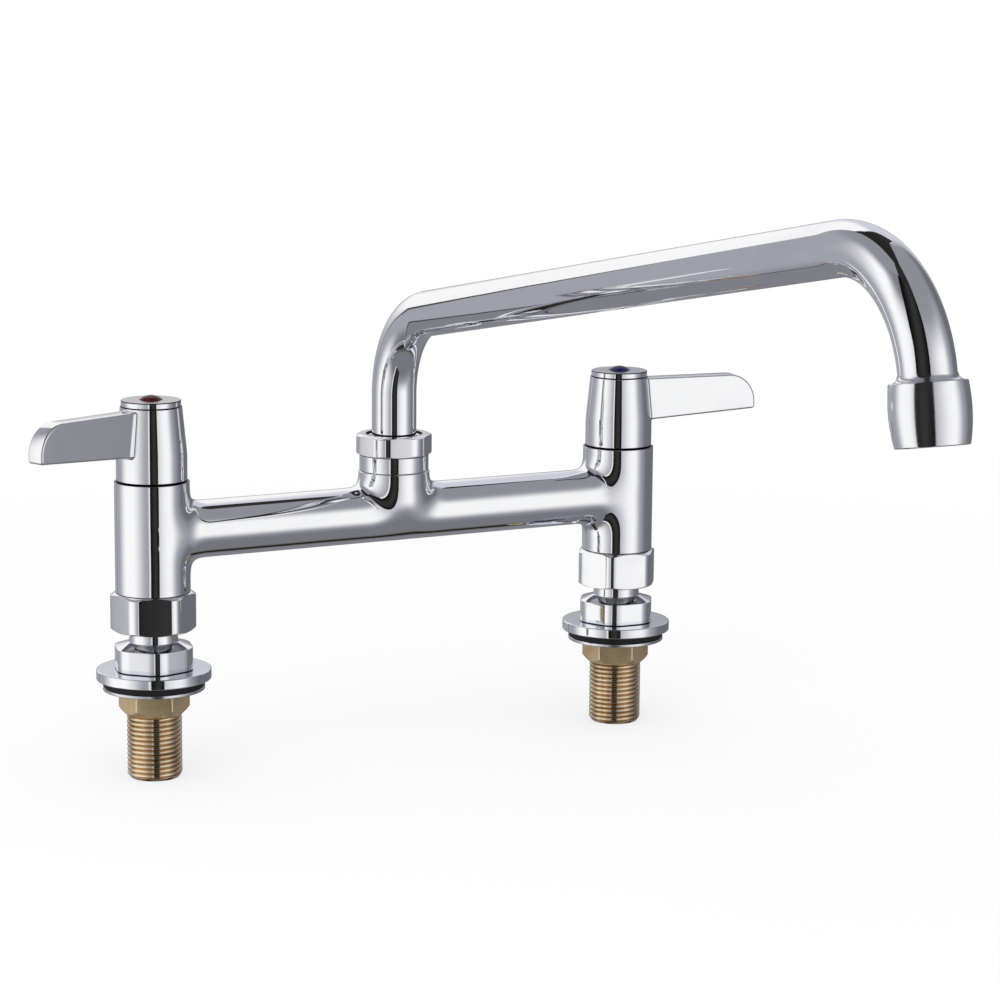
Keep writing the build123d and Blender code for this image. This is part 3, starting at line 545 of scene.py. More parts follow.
def weldGrid(points, joined):
    # grid of points to faces: doubled points are welded, folded quads become triangles, and a skin that is
    # inside out is turned
    rows, columns = points.shape[:2]
    index = np.arange(rows * columns).reshape(rows, columns)
    below, beside = np.roll(index, -1, 0), np.roll(index, -1, 1)
    quads = np.stack([index, beside, np.roll(below, -1, 1), below], -1)
    quads = (quads if joined else quads[:, :-1]).reshape(-1, 4)
    flat = points.reshape(-1, 3)
    keys = np.round(flat / weldStep).astype(np.int64)
    first, welded = np.unique(keys, axis=0, return_index=True, return_inverse=True)[1:]
    flat, quads = flat[first], welded.reshape(-1)[quads]
    corner = flat[quads]
    swept = np.cross(corner[:, 1], corner[:, 2]) + np.cross(corner[:, 2], corner[:, 3])
    volume = np.einsum("ij,ij->", corner[:, 0], swept)
    quads = quads[:, ::-1] if volume < 0 else quads
    same = quads == np.roll(quads, -1, 1)
    crossed = (quads[:, 0] == quads[:, 2]) | (quads[:, 1] == quads[:, 3])
    whole = quads[~same.any(1) & ~crossed]
    folded = (same.sum(1) == 1) & ~crossed
    keep = np.argsort(same[folded], axis=1, kind="stable")[:, :3]
    triangles = np.take_along_axis(quads[folded], np.sort(keep, 1), 1)
    return flat, whole, triangles


def makePiece(name, grids, node, sharp=35.0):
    # joins closed grids in mm into one mesh that stands for a CAD node and moves with its body
    points, faces, count = [], [], 0
    for grid in grids:
        rows, joined = grid if isinstance(grid, tuple) else (grid, True)
        flat, whole, triangles = weldGrid(rows * mm, joined)
        faces += (whole + count).tolist() + (triangles + count).tolist()
        points.append(flat)
        count += len(flat)
    mesh = bpy.data.meshes.new(name)
    mesh.from_pydata(np.concatenate(points).tolist(), [], faces)
    mesh.validate()
    mesh.shade_smooth()
    mesh.set_sharp_from_angle(angle=math.radians(sharp))
    mesh.materials.append(finishes[slotOf[node]])
    piece = bpy.data.objects.new(name, mesh)
    scene.collection.objects.link(piece)
    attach(piece, bodyOf[node])
    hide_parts(node)


def roundLoop(corners, steps=6, support=0.25, freeShare=0.3):
    # each corner (radius, height, rounding) becomes an arc tangent to both sides, with a point past each end
    table = np.array(corners, float)
    point, rounding = table[:, :2], table[:, 2:]
    back, ahead = np.roll(point, 1, 0) - point, np.roll(point, -1, 0) - point
    backLength, aheadLength = (np.linalg.norm(side, axis=1, keepdims=True) for side in (back, ahead))
    back, ahead = back / backLength, ahead / aheadLength
    half = np.arccos(np.clip((back * ahead).sum(1, keepdims=True), -1, 1)) / 2
    reach = rounding / np.tan(half)
    inward = (back + ahead) / np.linalg.norm(back + ahead, axis=1, keepdims=True)
    centre = point + inward * rounding / np.sin(half)
    start, end = point + back * reach - centre, point + ahead * reach - centre
    sweep = (np.pi - 2 * half)[:, None]
    share = np.linspace(0, 1, steps + 1)[None, :, None]
    spoke = np.sin((1 - share) * sweep) * start[:, None] + np.sin(share * sweep) * end[:, None]
    arc = centre[:, None] + spoke / np.sin(sweep)
    freeBack = backLength - reach - np.roll(reach, 1, 0)
    freeAhead = aheadLength - reach - np.roll(reach, -1, 0)
    before = point + back * (reach + np.minimum(support, freeShare * freeBack))
    after = point + ahead * (reach + np.minimum(support, freeShare * freeAhead))
    return np.concatenate([before[:, None], arc, after[:, None]], 1).reshape(-1, 2)


def roundAngles(columns):
    # even angles round a full turn
    return np.arange(columns) * fullTurn / columns


def roundRing(columns, side):
    # circle of radius 1 between +X and a side direction
    angle = roundAngles(columns)
    return np.cos(angle)[:, None] * np.array([1.0, 0, 0]) + np.sin(angle)[:, None] * side


def turnedGrid(loop, axisX, columns=192):
    # a closed loop of radius and height carried round an upright axis
    angle = roundAngles(columns)
    radius, height = loop[:, :1], loop[:, 1:]
    return np.stack([axisX + radius * np.cos(angle), radius * np.sin(angle), height + 0 * angle], -1)


def hexOutline(setup, turn, flatSteps=12, cornerSteps=16):
    # six flats as shallow arcs of radius crown and six tangent corner arcs, one corner along turn
    crown, cornerRound, apothem = setup["crown"], setup["cornerRound"], setup["flats"] / 2
    spare = crown - cornerRound
    spread = np.pi / 6 - np.arcsin(0.5 * (crown - apothem) / spare)
    onFlat = np.linspace(-spread, spread, flatSteps + 1)[:-1]
    onCorner = np.linspace(spread, np.pi / 3 - spread, cornerSteps + 1)[:-1]
    joint = np.array([apothem - crown + spare * np.cos(spread), spare * np.sin(spread)])
    flat = np.array([apothem - crown, 0]) + crown * np.stack([np.cos(onFlat), np.sin(onFlat)], -1)
    corner = joint + cornerRound * np.stack([np.cos(onCorner), np.sin(onCorner)], -1)
    sixth = np.concatenate([flat, corner])
    face = np.radians(turn + 30) + np.arange(6) * np.pi / 3
    cosine, sine = np.cos(face), np.sin(face)
    turned = np.stack([np.stack([cosine, sine], -1), np.stack([-sine, cosine], -1)], 1)
    return np.einsum("pi,kij->kpj", sixth, turned).reshape(-1, 2)


def nutGrid(outline, axisX, below, above, lowCone, highCone, soft):
    # rows of the outline between two turned cones (height, rim, slope), each crease eased over the soft
    # length; below and above are plain turned rows
    reach = np.linalg.norm(outline, axis=1)
    (low, lowRim, lowSlope), (high, highRim, highSlope) = lowCone, highCone
    lowSlope, highSlope = math.radians(lowSlope), math.radians(highSlope)
    lowCrease = low + (reach - lowRim) * math.tan(lowSlope)
    highCrease = high - (reach - highRim) * math.tan(highSlope)
    shy, far, same = 0.10 * soft, 3 * soft, np.ones_like(reach)
    rows = [(radius * same, height * same) for radius, height in below]
    rows += [(lowRim * same, low * same),
             (reach - soft * math.cos(lowSlope), lowCrease - soft * math.sin(lowSlope)),
             (reach - shy, lowCrease + shy), (reach, lowCrease + soft), (reach, lowCrease + far),
             (reach, highCrease - far), (reach, highCrease - soft), (reach - shy, highCrease - shy),
             (reach - soft * math.cos(highSlope), highCrease + soft * math.sin(highSlope)),
             (highRim * same, high * same)]
    rows += [(radius * same, height * same) for radius, height in above]
    radius, height = np.array(rows).swapaxes(0, 1)
    unit = outline / reach[:, None]
    return np.stack([axisX + radius * unit[:, 0], radius * unit[:, 1], height], -1)


def offCorner(radius, height, offsets):
    # rows of radius and height close to one corner, which ease it
    return [(radius + out, height + up) for out, up in offsets]


def arcBetween(centre, start, end, share):
    # arc about a centre from one point to another, swept evenly by share
    first, last = start - centre, end - centre
    size = np.linalg.norm(first, axis=-1, keepdims=True)
    cosine = (first * last).sum(-1, keepdims=True) / size ** 2
    sweep = np.arccos(np.clip(cosine, -1, 1))
    return centre + (np.sin((1 - share) * sweep) * first + np.sin(share * sweep) * last) / np.sin(sweep)


# the two inlet axes: middle of each flange along X, in mm
sides = {side: sum(corner[0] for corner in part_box(f"{side}_deck_flange")) / 2 / mm
         for side in ("hot", "cold")}

# deck clamp: flange, gasket, washer and brass lock nut on each inlet
flange = {"radius": 21.9, "bore": 10.78, "low": 2.6, "high": 6.6, "edge": 0.55}
gasket = {"radius": 19.35, "bore": 10.78, "low": 0.0, "high": 2.6, "edge": 0.5}
washer = {"radius": 19.45, "bore": 10.78, "low": -1.4, "high": 0.0, "edge": 0.35}
lockNut = {"flats": 23.7, "cornerRound": 0.7, "crown": 400.0, "turn": {"hot": 38.5, "cold": 31.0},
           "bore": 10.25, "lowCone": (-10.6, 11.2, 45.0), "highCone": (-1.4, 11.7, 30.0), "soft": 0.16}


def flatRing(setup, boreEdge=0.1):
    # a rectangle of radius and height with eased edges
    radius, bore, low, high, edge = pick(setup, "radius bore low high edge")
    return roundLoop([(bore, low, boreEdge), (radius, low, edge), (radius, high, edge),
                      (bore, high, boreEdge)])


def lockNutGrid(setup, side, axisX):
    # a hexagon between two turned cones, with a plain bore
    bore, lowCone, highCone = pick(setup, "bore lowCone highCone")
    outline = hexOutline(setup, setup["turn"][side], flatSteps=10, cornerSteps=8)
    below, above = [(bore, lowCone[0])], [(bore, highCone[0])]
    return nutGrid(outline, axisX, below, above, lowCone, highCone, setup["soft"])


for side, axisX in sides.items():
    makePiece(f"{side}Flange", [turnedGrid(flatRing(flange), axisX)], f"{side}_deck_flange")
    makePiece(f"{side}Gasket", [turnedGrid(flatRing(gasket), axisX)], f"{side}_deck_gasket")
    makePiece(f"{side}Washer", [turnedGrid(flatRing(washer), axisX)], f"{side}_deck_washer")
    makePiece(f"{side}LockNut", [lockNutGrid(lockNut, side, axisX)], f"{side}_lock_nut")
print("deck clamp: flanges, gaskets, washers, lock nuts")

# threaded shank: one true helical thread with a lead-in, then the plain part inside the stack
shank = {"crest": 10.48, "root": 9.32, "pitch": 1.814, "bore": 7.75, "low": -35.7, "threadTop": -10.6,
         "plain": 10.2, "top": 15.0, "leadIn": 9.3, "leadSlope": 0.75, "boreEase": 0.4, "samples": 16,
         "dome": 3.5, "sharp": 50.0}


def threadGrid(setup, axisX, columns=144):
    # height climbs one pitch per turn, radius falls from each crest by a power of the way to the root
    crest, root, pitch, bore, ease = pick(setup, "crest root pitch bore boreEase")
    low, threadTop, plain, top, samples = pick(setup, "low threadTop plain top samples")
    turns = int(np.ceil((threadTop - low) / pitch)) + 2
    across = np.arange(turns * samples + 1) / samples - 1.0
    angle = np.linspace(0, fullTurn, columns + 1)
    tooth = 1 - np.abs(2 * np.mod(across, 1.0) - 1) ** setup["dome"]
    climb = low + (across[:, None] + angle / fullTurn) * pitch
    height = np.clip(climb, low, threadTop)
    radius = root + (crest - root) * tooth[:, None] + 0 * height
    radius = np.minimum(radius, setup["leadIn"] + setup["leadSlope"] * (height - low))
    radius = np.where(climb >= threadTop, root, radius)
    inside = np.array([(plain, threadTop), (plain, top), (bore, top), (bore, low + ease), (bore + ease, low)])
    radius = np.concatenate([radius, inside[:, :1] + 0 * angle])
    height = np.concatenate([height, inside[:, 1:] + 0 * angle])
    return np.stack([axisX + radius * np.cos(angle), radius * np.sin(angle), height], -1), False


for side, axisX in sides.items():
    makePiece(f"{side}Shank", [threadGrid(shank, axisX)], f"{side}_threaded_shank", shank["sharp"])
print("shanks: helical threads")

# tailpiece: hexagon, neck and hidden collar; coupling nut above it
tailpiece = {"flats": 28.9, "cornerRound": 8.0, "crown": 300.0, "turn": {"hot": 15.5, "cold": 57.0},
             "low": 6.6, "roof": 15.25, "high": 17.0, "neck": 9.3, "neckRing": 0.5, "collarLow": 23.7,
             "collarHigh": 25.5, "collar": 11.5, "bore": 6.5, "socket": 10.25, "socketTop": 15.0,
             "soleInset": 0.8, "footEase": ((-0.3, 0.0), (-0.09, 0.09), (0.0, 0.3), (0.0, 0.9)),
             "roofEase": ((0.0, -0.7), (0.0, -0.2), (-0.05, -0.03)),
             "roofShares": (0.04, 0.1, 0.4, 0.7, 0.95, 1.0),
             "neckEase": ((0.2, 0.18), (0.05, 0.4), (0.0, 0.8))}
couplingNut = {"flats": 29.6, "cornerRound": 5.0, "crown": 300.0, "turn": {"hot": 41.0, "cold": 52.0},
               "low": 21.5, "high": 36.3, "lip": 23.7, "hole": 9.5, "thread": 11.95, "rimInset": 0.4,
               "faceInset": 0.6, "lipEase": 0.3, "slope": 30.0, "soft": 0.24}


def tailGrid(setup, side, axisX):
    # every row's radius is a share of the hexagon's reach plus a plain radius: walls have share 1, turned
    # rows 0, and the sloping roof goes from one to the other
    low, roof, high, neck = pick(setup, "low roof high neck")
    collarLow, collarHigh, collar, bore, socket, socketTop = pick(
        setup, "collarLow collarHigh collar bore socket socketTop")
    outline = hexOutline(setup, setup["turn"][side])
    reach = np.linalg.norm(outline, axis=1)
    below = [(0, socket, low), (0, setup["flats"] / 2 - setup["soleInset"], low)]
    eased = offCorner(0, low, setup["footEase"]) + offCorner(0, roof, setup["roofEase"])
    wall = [(1, *row) for row in eased]
    ring = neck + setup["neckRing"]
    slope = [(1 - share, ring * share, roof + (high - roof) * share) for share in setup["roofShares"]]
    turned = offCorner(neck, high, setup["neckEase"])
    turned += [(neck, collarLow), (collar, collarLow), (collar, collarHigh), (bore, collarHigh),
               (bore, socketTop), (socket, socketTop)]
    rows = np.array(below + wall + slope + [(0, *row) for row in turned])
    share, plain, height = rows.T[..., None]
    radius = share * reach + plain
    unit = outline / reach[:, None]
    return np.stack([axisX + radius * unit[:, 0], radius * unit[:, 1], height + 0 * reach], -1)


def couplingGrid(setup, side, axisX):
    # a hexagon between two turned cones, hollow above the lip that holds the tailpiece
    low, high, lip, hole, thread, ease = pick(setup, "low high lip hole thread lipEase")
    rim = setup["flats"] / 2 - setup["rimInset"]
    face = rim - setup["faceInset"]
    below = [(hole, low + ease), (hole + ease, low), (face, low)]
    above = [(face, high), (thread, high), (thread, lip), (hole, lip)]
    cones = [(height, rim, setup["slope"]) for height in (low, high)]
    return nutGrid(hexOutline(setup, setup["turn"][side]), axisX, below, above, *cones, setup["soft"])


for side, axisX in sides.items():
    makePiece(f"{side}Tailpiece", [tailGrid(tailpiece, side, axisX)], f"{side}_tailpiece")
    makePiece(f"{side}CouplingNut", [couplingGrid(couplingNut, side, axisX)], f"{side}_coupling_nut")
print("unions: tailpieces and coupling nuts")

# bridge casting: two barrels, the cross tube eased into them, and the spout boss eased into the tube
casting = {"barrel": 14.25, "low": 36.3, "high": 79.0, "edge": 0.45, "footEdge": 0.3, "pocket": 10.2,
           "pocketEdge": 0.2, "seat": 48.0, "inlet": 7.0, "spigot": 11.9, "spigotLow": 27.0,
           "spigotEdge": 0.2, "tube": 11.0, "tubeBore": 7.5, "axis": 59.0, "tubeEnd": 92.0, "ease": 8.25,
           "ringSide": (26.0, 15.0), "ringTall": (19.3, 14.5), "rootReach": 25.0, "proud": 0.02,
           "sunk": -0.6, "ringRows": 18, "overRows": 28, "runRows": 61}
boss = {"radius": 13.9, "top": 76.0, "round": 67.0, "wallLow": 72.0, "ease": 8.0, "edge": 0.3,
        "spigot": 11.85, "spigotTop": 85.0, "bore": 10.4, "boreLow": 66.0, "ringAlong": (16.0, 23.5),
        "ringRound": (20.0, 31.5), "proud": 0.04, "wallRows": 14, "overRows": 30, "ringRows": 18,
        "rimRows": 5}


def barrelGrid(setup, axisX):
    # barrel wall with its valve pocket and the hidden spigot below
    barrel, low, high, pocket, seat, inlet = pick(setup, "barrel low high pocket seat inlet")
    spigot, spigotLow, spigotEdge = pick(setup, "spigot spigotLow spigotEdge")
    loop = roundLoop([(inlet, spigotLow, 0), (spigot, spigotLow, spigotEdge), (spigot, low, 0),
                      (barrel, low, setup["footEdge"]), (barrel, high, setup["edge"]),
                      (pocket, high, setup["pocketEdge"]), (pocket, seat, 0), (inlet, seat, 0)])
    return turnedGrid(loop, axisX, 224)


def fromBar(points, first, last, radius):
    # distance from a round bar with ball ends, and the direction straight away from its axis
    first, axis = np.array(first, float), np.array(last, float) - np.array(first, float)
    off = points - first
    aside = off - np.clip(off @ axis / (axis @ axis), 0, 1)[..., None] * axis
    size = np.linalg.norm(aside, axis=-1)
    return size - radius, aside / size[..., None]


def easedUnion(one, other, ease):
    # the lesser of two distances, lowered by a cubic and turned smoothly where they differ by less than ease
    (near, nearAim), (far, farAim) = one, other
    share = np.maximum(ease - np.abs(near - far), 0) / ease
    weight = np.where(near < far, share ** 2 / 2, 1 - share ** 2 / 2)[..., None]
    return np.minimum(near, far) - share ** 3 * ease / 6, nearAim * (1 - weight) + farAim * weight


def settle(points, field, proud, steps=12):
    # every point walks along the field's direction until it lies proud of the surface
    for step in range(steps):
        value, aim = field(points)
        points = points - aim * ((value - proud) / (aim ** 2).sum(-1))[..., None]
    return points


def tubeField(points):
    # distance from the cross tube
    end, axis = casting["tubeEnd"], casting["axis"]
    return fromBar(points, (-end, 0, axis), (end, 0, axis), casting["tube"])


def crossTubeGrid(setup, columns=192):
    # rings on both unrolled barrels, straight rows over each corner and along the tube, settled on the eased
    # union
    angle = roundAngles(columns)
    across, up = np.cos(angle), np.sin(angle)
    tube, tubeBore, barrel, axis, rows = pick(setup, "tube tubeBore barrel axis ringRows")
    halves = []
    for inward, axisX in zip((1, -1), sides.values()):
        def barrelField(points):
            # distance from this side's barrel
            return fromBar(points, (axisX, 0, setup["low"]), (axisX, 0, setup["high"]), barrel)

        def rootField(points):
            # tube and barrel as one eased form
            return easedUnion(tubeField(points), barrelField(points), setup["ease"])

        turn = np.linspace(*setup["ringSide"], rows)[:, None] * across / barrel
        climb = np.linspace(*setup["ringTall"], rows)[:, None] * up
        onBarrel = np.stack([axisX + inward * barrel * np.cos(turn), barrel * np.sin(turn), axis + climb], -1)
        rootX = axisX + inward * setup["rootReach"]
        onTube = np.stack([rootX + 0 * angle, tube * across, axis + tube * up], -1)
        over = onBarrel[-1] + (onTube - onBarrel[-1]) * np.linspace(0, 1, setup["overRows"])[1:, None, None]
        skin = settle(np.concatenate([onBarrel, over]), rootField, setup["proud"])
        boreX = axisX + inward * setup["pocket"]
        bore = np.stack([boreX + 0 * angle, tubeBore * across, axis + tubeBore * up], -1)
        halves.append((settle(onBarrel[:1], barrelField, setup["sunk"]), skin, bore[None]))
    (leftFoot, left, leftBore), (rightFoot, right, rightBore) = halves
    middle = left[-1] + (right[-1] - left[-1]) * np.linspace(0, 1, setup["runRows"])[1:-1, None, None]
    return np.concatenate([leftFoot, left, middle, right[::-1], rightFoot, rightBore, leftBore])


def bossGrid(setup, columns=224):
    # bore and rim as turned rows, the wall, straight rows over the corner and rings on the unrolled tube,
    # settled on the eased union
    radius, edge, top, bore, spigot, spigotTop = pick(setup, "radius edge top bore spigot spigotTop")
    tube = casting["tube"]

    def bossField(points):
        # boss and tube as one eased form
        upright = fromBar(points, (0, 0, setup["round"]), (0, 0, 2 * spigotTop), radius)
        return easedUnion(upright, tubeField(points), setup["ease"])

    angle = roundAngles(columns)
    out = np.stack([np.cos(angle), np.sin(angle), 0 * angle], -1)
    up = np.array([0, 0, 1.0])
    wall = out * radius + up * np.linspace(top - edge, setup["wallLow"], setup["wallRows"])[:, None, None]
    turn = np.linspace(*setup["ringRound"], setup["ringRows"])[:, None] * np.sin(angle) / tube
    along = np.linspace(*setup["ringAlong"], setup["ringRows"])[:, None] * np.cos(angle)
    onTube = np.stack([along, tube * np.sin(turn), casting["axis"] + tube * np.cos(turn)], -1)
    over = wall[-1] + (onTube[0] - wall[-1]) * np.linspace(0, 1, setup["overRows"])[1:-1, None, None]
    skin = settle(np.concatenate([wall, over, onTube]), bossField, setup["proud"])
    foot = settle(onTube[-1:], tubeField, casting["sunk"])
    bend = np.linspace(0, quarterTurn, setup["rimRows"])[:-1]
    rim = np.stack([radius - edge + edge * np.sin(bend), top - edge + edge * np.cos(bend)], -1)
    head = np.array([(bore, setup["boreLow"]), (bore, spigotTop), (spigot, spigotTop), (spigot, top),
                     (radius - 3 * edge, top)])
    plain = np.concatenate([head, rim])
    return np.concatenate([out * plain[:, None, :1] + up * plain[:, None, 1:], skin, foot])


barrels = [barrelGrid(casting, axisX) for axisX in sides.values()]
makePiece("bridgeCasting", barrels + [crossTubeGrid(casting), bossGrid(boss)], "bridge_body")
print("bridge casting: barrels, cross tube, boss")

# lever handle: hollow hub and a flat blade that grows out of it with a small fillet
lever = {"hub": 13.43, "low": 79.45, "straight": 87.45, "bend": 40.0, "taper": 5.6, "high": 107.45,
         "foot": 0.3, "cavity": 11.58, "cavityEase": 0.2, "soleInset": 0.8, "webLow": 90.15,
         "webHigh": 101.15, "recess": 6.6, "brow": 0.35, "rimInset": 0.6,
         "heading": {"hot": 203.0, "cold": -8.0}, "half": 3.75, "reach": 59.0, "start": 10.6,
         "topDrop": 1.0, "topSlope": 0.003, "lowRise": 9.1, "lowSlope": 0.063, "tipRound": 11.5,
         "toeRound": 1.2, "edge": 0.9, "flatInset": 0.2, "fillet": 1.1, "topFillet": 0.5, "hubSink": 0.8,
         "bladeSink": 0.5}


def hubRadius(setup, height):
    # straight wall, an arc tangent to it, then a cone at the taper
    taper, bend = math.radians(setup["taper"]), setup["bend"]
    above = np.maximum(height - setup["straight"], 0)
    onArc = np.minimum(above, bend * math.sin(taper))
    return setup["hub"] - bend + np.sqrt(bend ** 2 - onArc ** 2) - (above - onArc) * math.tan(taper)


def hubGrid(setup, axisX):
    # outside by height, top rim, screw recess, web and the cavity under it
    hub, low, straight, high, foot, brow = pick(setup, "hub low straight high foot brow")
    cavity, ease, webLow, webHigh, recess = pick(setup, "cavity cavityEase webLow webHigh recess")
    lower, upper = np.linspace(low + foot, straight, 10), np.linspace(straight, high - brow, 30)[1:]
    height = np.concatenate([lower, upper])
    wall = np.stack([hubRadius(setup, height), height], -1)
    turn = np.linspace(0, quarterTurn, 6)
    footArc = np.stack([hub - foot + foot * np.sin(turn), low + foot - foot * np.cos(turn)], -1)[:-1]
    rim = wall[-1, 0] - brow
    browArc = np.stack([rim + brow * np.cos(turn), high - brow + brow * np.sin(turn)], -1)[1:]
    inside = np.array([(rim - setup["rimInset"], high), (recess, high), (recess, webHigh), (0, webHigh),
                       (0, webLow), (cavity, webLow), (cavity, low + ease), (cavity + ease, low),
                       (hub - setup["soleInset"], low)])
    return turnedGrid(np.concatenate([footArc, wall, browArc, inside]), axisX, 224)


def bladeTop(setup, along):
    # height of the blade's top edge: a straight line along the blade
    return setup["high"] - setup["topDrop"] + setup["topSlope"] * along


def bladeLow(setup, along):
    # height of the blade's low edge: a steeper straight line
    return setup["low"] + setup["lowRise"] + setup["lowSlope"] * along


def onBlade(setup, side, axisX, along, across, height):
    # blade lengths along and across its heading, turned into place
    heading = math.radians(setup["heading"][side])
    x = axisX + along * math.cos(heading) + across * math.sin(heading)
    y = along * math.sin(heading) - across * math.cos(heading)
    return np.stack([x, y, height], -1)


def outward(loop):
    # normals of a closed loop, halfway between those of its two sides and as long as their mitre
    ahead, back = np.roll(loop, -1, 0) - loop, loop - np.roll(loop, 1, 0)
    ahead /= np.linalg.norm(ahead, axis=1, keepdims=True)
    lean = ahead + back / np.linalg.norm(back, axis=1, keepdims=True)
    lean /= (lean * ahead).sum(1, keepdims=True)
    return np.stack([lean[:, 1], -lean[:, 0]], -1)


def bladeGrid(setup, side, axisX):
    # side outline with a round tip, set in by the edge rounding as it goes over each edge; flat sides close
    # on their middle
    start, reach, edge, half = pick(setup, "start reach edge half")
    corners = [(start, bladeLow(setup, start), 0), (reach, bladeLow(setup, reach), setup["toeRound"]),
               (reach, bladeTop(setup, reach), setup["tipRound"]), (start, bladeTop(setup, start), 0)]
    outline = roundLoop(corners, steps=28, support=2.0)
    outline = outline[np.linalg.norm(outline - np.roll(outline, 1, 0), axis=1) > 1e-9]
    turn = np.linspace(0, quarterTurn, 9)
    inset = np.concatenate([edge * (1 - np.sin(turn)), edge * (1 - np.cos(turn))])
    across = np.concatenate([half - edge + edge * np.cos(turn), edge - half - edge * np.sin(turn)])
    flat = [edge + setup["flatInset"]]
    inset = np.concatenate([flat, inset, flat])
    across = np.concatenate([[half] * 2, across, [-half] * 2])
    ring = outline - outward(outline) * inset[:, None, None]
    middle = np.broadcast_to(outline.mean(0), (1,) + outline.shape)
    ring = np.concatenate([middle, ring, middle])
    return onBlade(setup, side, axisX, ring[..., 0], across[:, None] + 0 * ring[..., 0], ring[..., 1])


def rootGrid(setup, side, axisX):
    # a small ball rolls round the foot of the blade: its centre is the fillet away from hub and blade, and
    # its arc joins the touch points
    hub, high, brow, half, edge, fillet, topFillet = pick(setup, "hub high brow half edge fillet topFillet")
    top, low = bladeTop(setup, hub), bladeLow(setup, hub)
    tall, middle = (top - low) / 2, (top + low) / 2
    loop = roundLoop([(-half, -tall, edge), (half, -tall, edge), (half, tall, edge), (-half, tall, edge)],
                     steps=8, support=0.6)
    fine = np.linspace(0, 1, 9)[:-1, None]
    loop = (loop[:, None] + (np.roll(loop, -1, 0) - loop)[:, None] * fine).reshape(-1, 2)
    loop = loop[np.linalg.norm(loop - np.roll(loop, 1, 0), axis=1) > 1e-6]
    normal = outward(loop)
    ball = fillet - (fillet - topFillet) * np.maximum(normal[:, 1], 0)
    across, height = loop[:, 0] + ball * normal[:, 0], middle + loop[:, 1] + ball * normal[:, 1]
    wall = hubRadius(setup, np.minimum(height, high - brow))
    along = np.sqrt((wall + ball) ** 2 - across ** 2)
    centre = np.stack([along, across, height], -1)
    onFlat = np.stack([along, loop[:, 0], middle + loop[:, 1]], -1)
    level = centre * np.array([1, 1, 0])
    onHub = centre - level * (ball / (wall + ball))[:, None]
    inHub = centre - level * ((ball + setup["hubSink"]) / (wall + ball))[:, None]
    inFlat = onFlat - np.stack([0 * along, normal[:, 0], normal[:, 1]], -1) * setup["bladeSink"]
    share = (0.5 - 0.5 * np.cos(np.linspace(0, np.pi, 14)))[:, None, None]  # closer together at both ends
    arc = arcBetween(centre[None], onHub[None], onFlat[None], share)
    grid = np.concatenate([inHub[None], arc, inFlat[None]])
    return onBlade(setup, side, axisX, grid[..., 0], grid[..., 1], grid[..., 2])


# index cap and its coloured button
indexCap = {"radius": 11.3, "low": 107.45, "high": 109.9, "edge": 0.5, "foot": 0.4, "hole": 4.45,
            "holeEdge": 0.18, "floor": 108.2}
indexButton = {"radius": 4.4, "low": 108.2, "shoulder": 109.9, "shoulderEase": 0.2, "peak": 111.6}


def capLoop(setup):
    # a disc with eased edges and a hole for the button that stops at its floor
    radius, low, high, hole, floor = pick(setup, "radius low high hole floor")
    return roundLoop([(0, low, 0), (radius, low, setup["foot"]), (radius, high, setup["edge"]),
                      (hole, high, setup["holeEdge"]), (hole, floor, 0), (0, floor, 0)])


def buttonLoop(setup):
    # dome as an arc through the peak and the shoulder
    radius, low, shoulder, ease, peak = pick(setup, "radius low shoulder shoulderEase peak")
    rise = peak - shoulder
    bend = (radius ** 2 + rise ** 2) / (2 * rise)
    out = np.linspace(radius, 0, 16)
    dome = np.stack([out, peak - bend + np.sqrt(bend ** 2 - out ** 2)], -1)
    return np.concatenate([[(0, low), (radius, low), (radius, shoulder - ease)], dome])


for side, axisX in sides.items():
    leverGrids = [hubGrid(lever, axisX), bladeGrid(lever, side, axisX), rootGrid(lever, side, axisX)]
    makePiece(f"{side}Lever", leverGrids, f"{side}_lever_handle")
    makePiece(f"{side}Cap", [turnedGrid(capLoop(indexCap), axisX)], f"{side}_index_cap")
    makePiece(f"{side}Button", [turnedGrid(buttonLoop(indexButton), axisX, 96)], f"{side}_index_button")
print("levers: hubs, blades, caps, buttons")

# spout nut: round skirt, hexagon, stepped opening
spoutNut = {"flats": 28.0, "cornerRound": 7.5, "crown": 150.0, "turn": 45.0, "rimInset": 0.35,
            "slope": 30.0, "soft": 0.2, "skirt": 13.56, "low": 76.0, "hexLow": 82.4, "high": 90.5,
            "thread": 11.9, "washerTop": 87.8, "opening": 9.05, "step": 11.05, "stepDepth": 0.75,
            "footEase": ((-0.6, 0.0), (-0.25, 0.0), (-0.06, 0.07), (0.0, 0.25), (0.0, 0.8)),
            "skirtEase": ((0.0, -0.6), (0.0, -0.3), (-0.06, -0.1)), "hexEase": ((-0.1, -0.02),),
            "rimEase": ((-0.5, 0.0),), "stepEase": ((0.5, 0.0), (0.08, 0.0), (0.0, -0.08)),
            "ledgeEase": ((0.0, 0.06), (-0.06, 0.0), (-0.4, 0.0)),
            "openingEase": ((0.3, 0.0), (0.0, -0.2))}


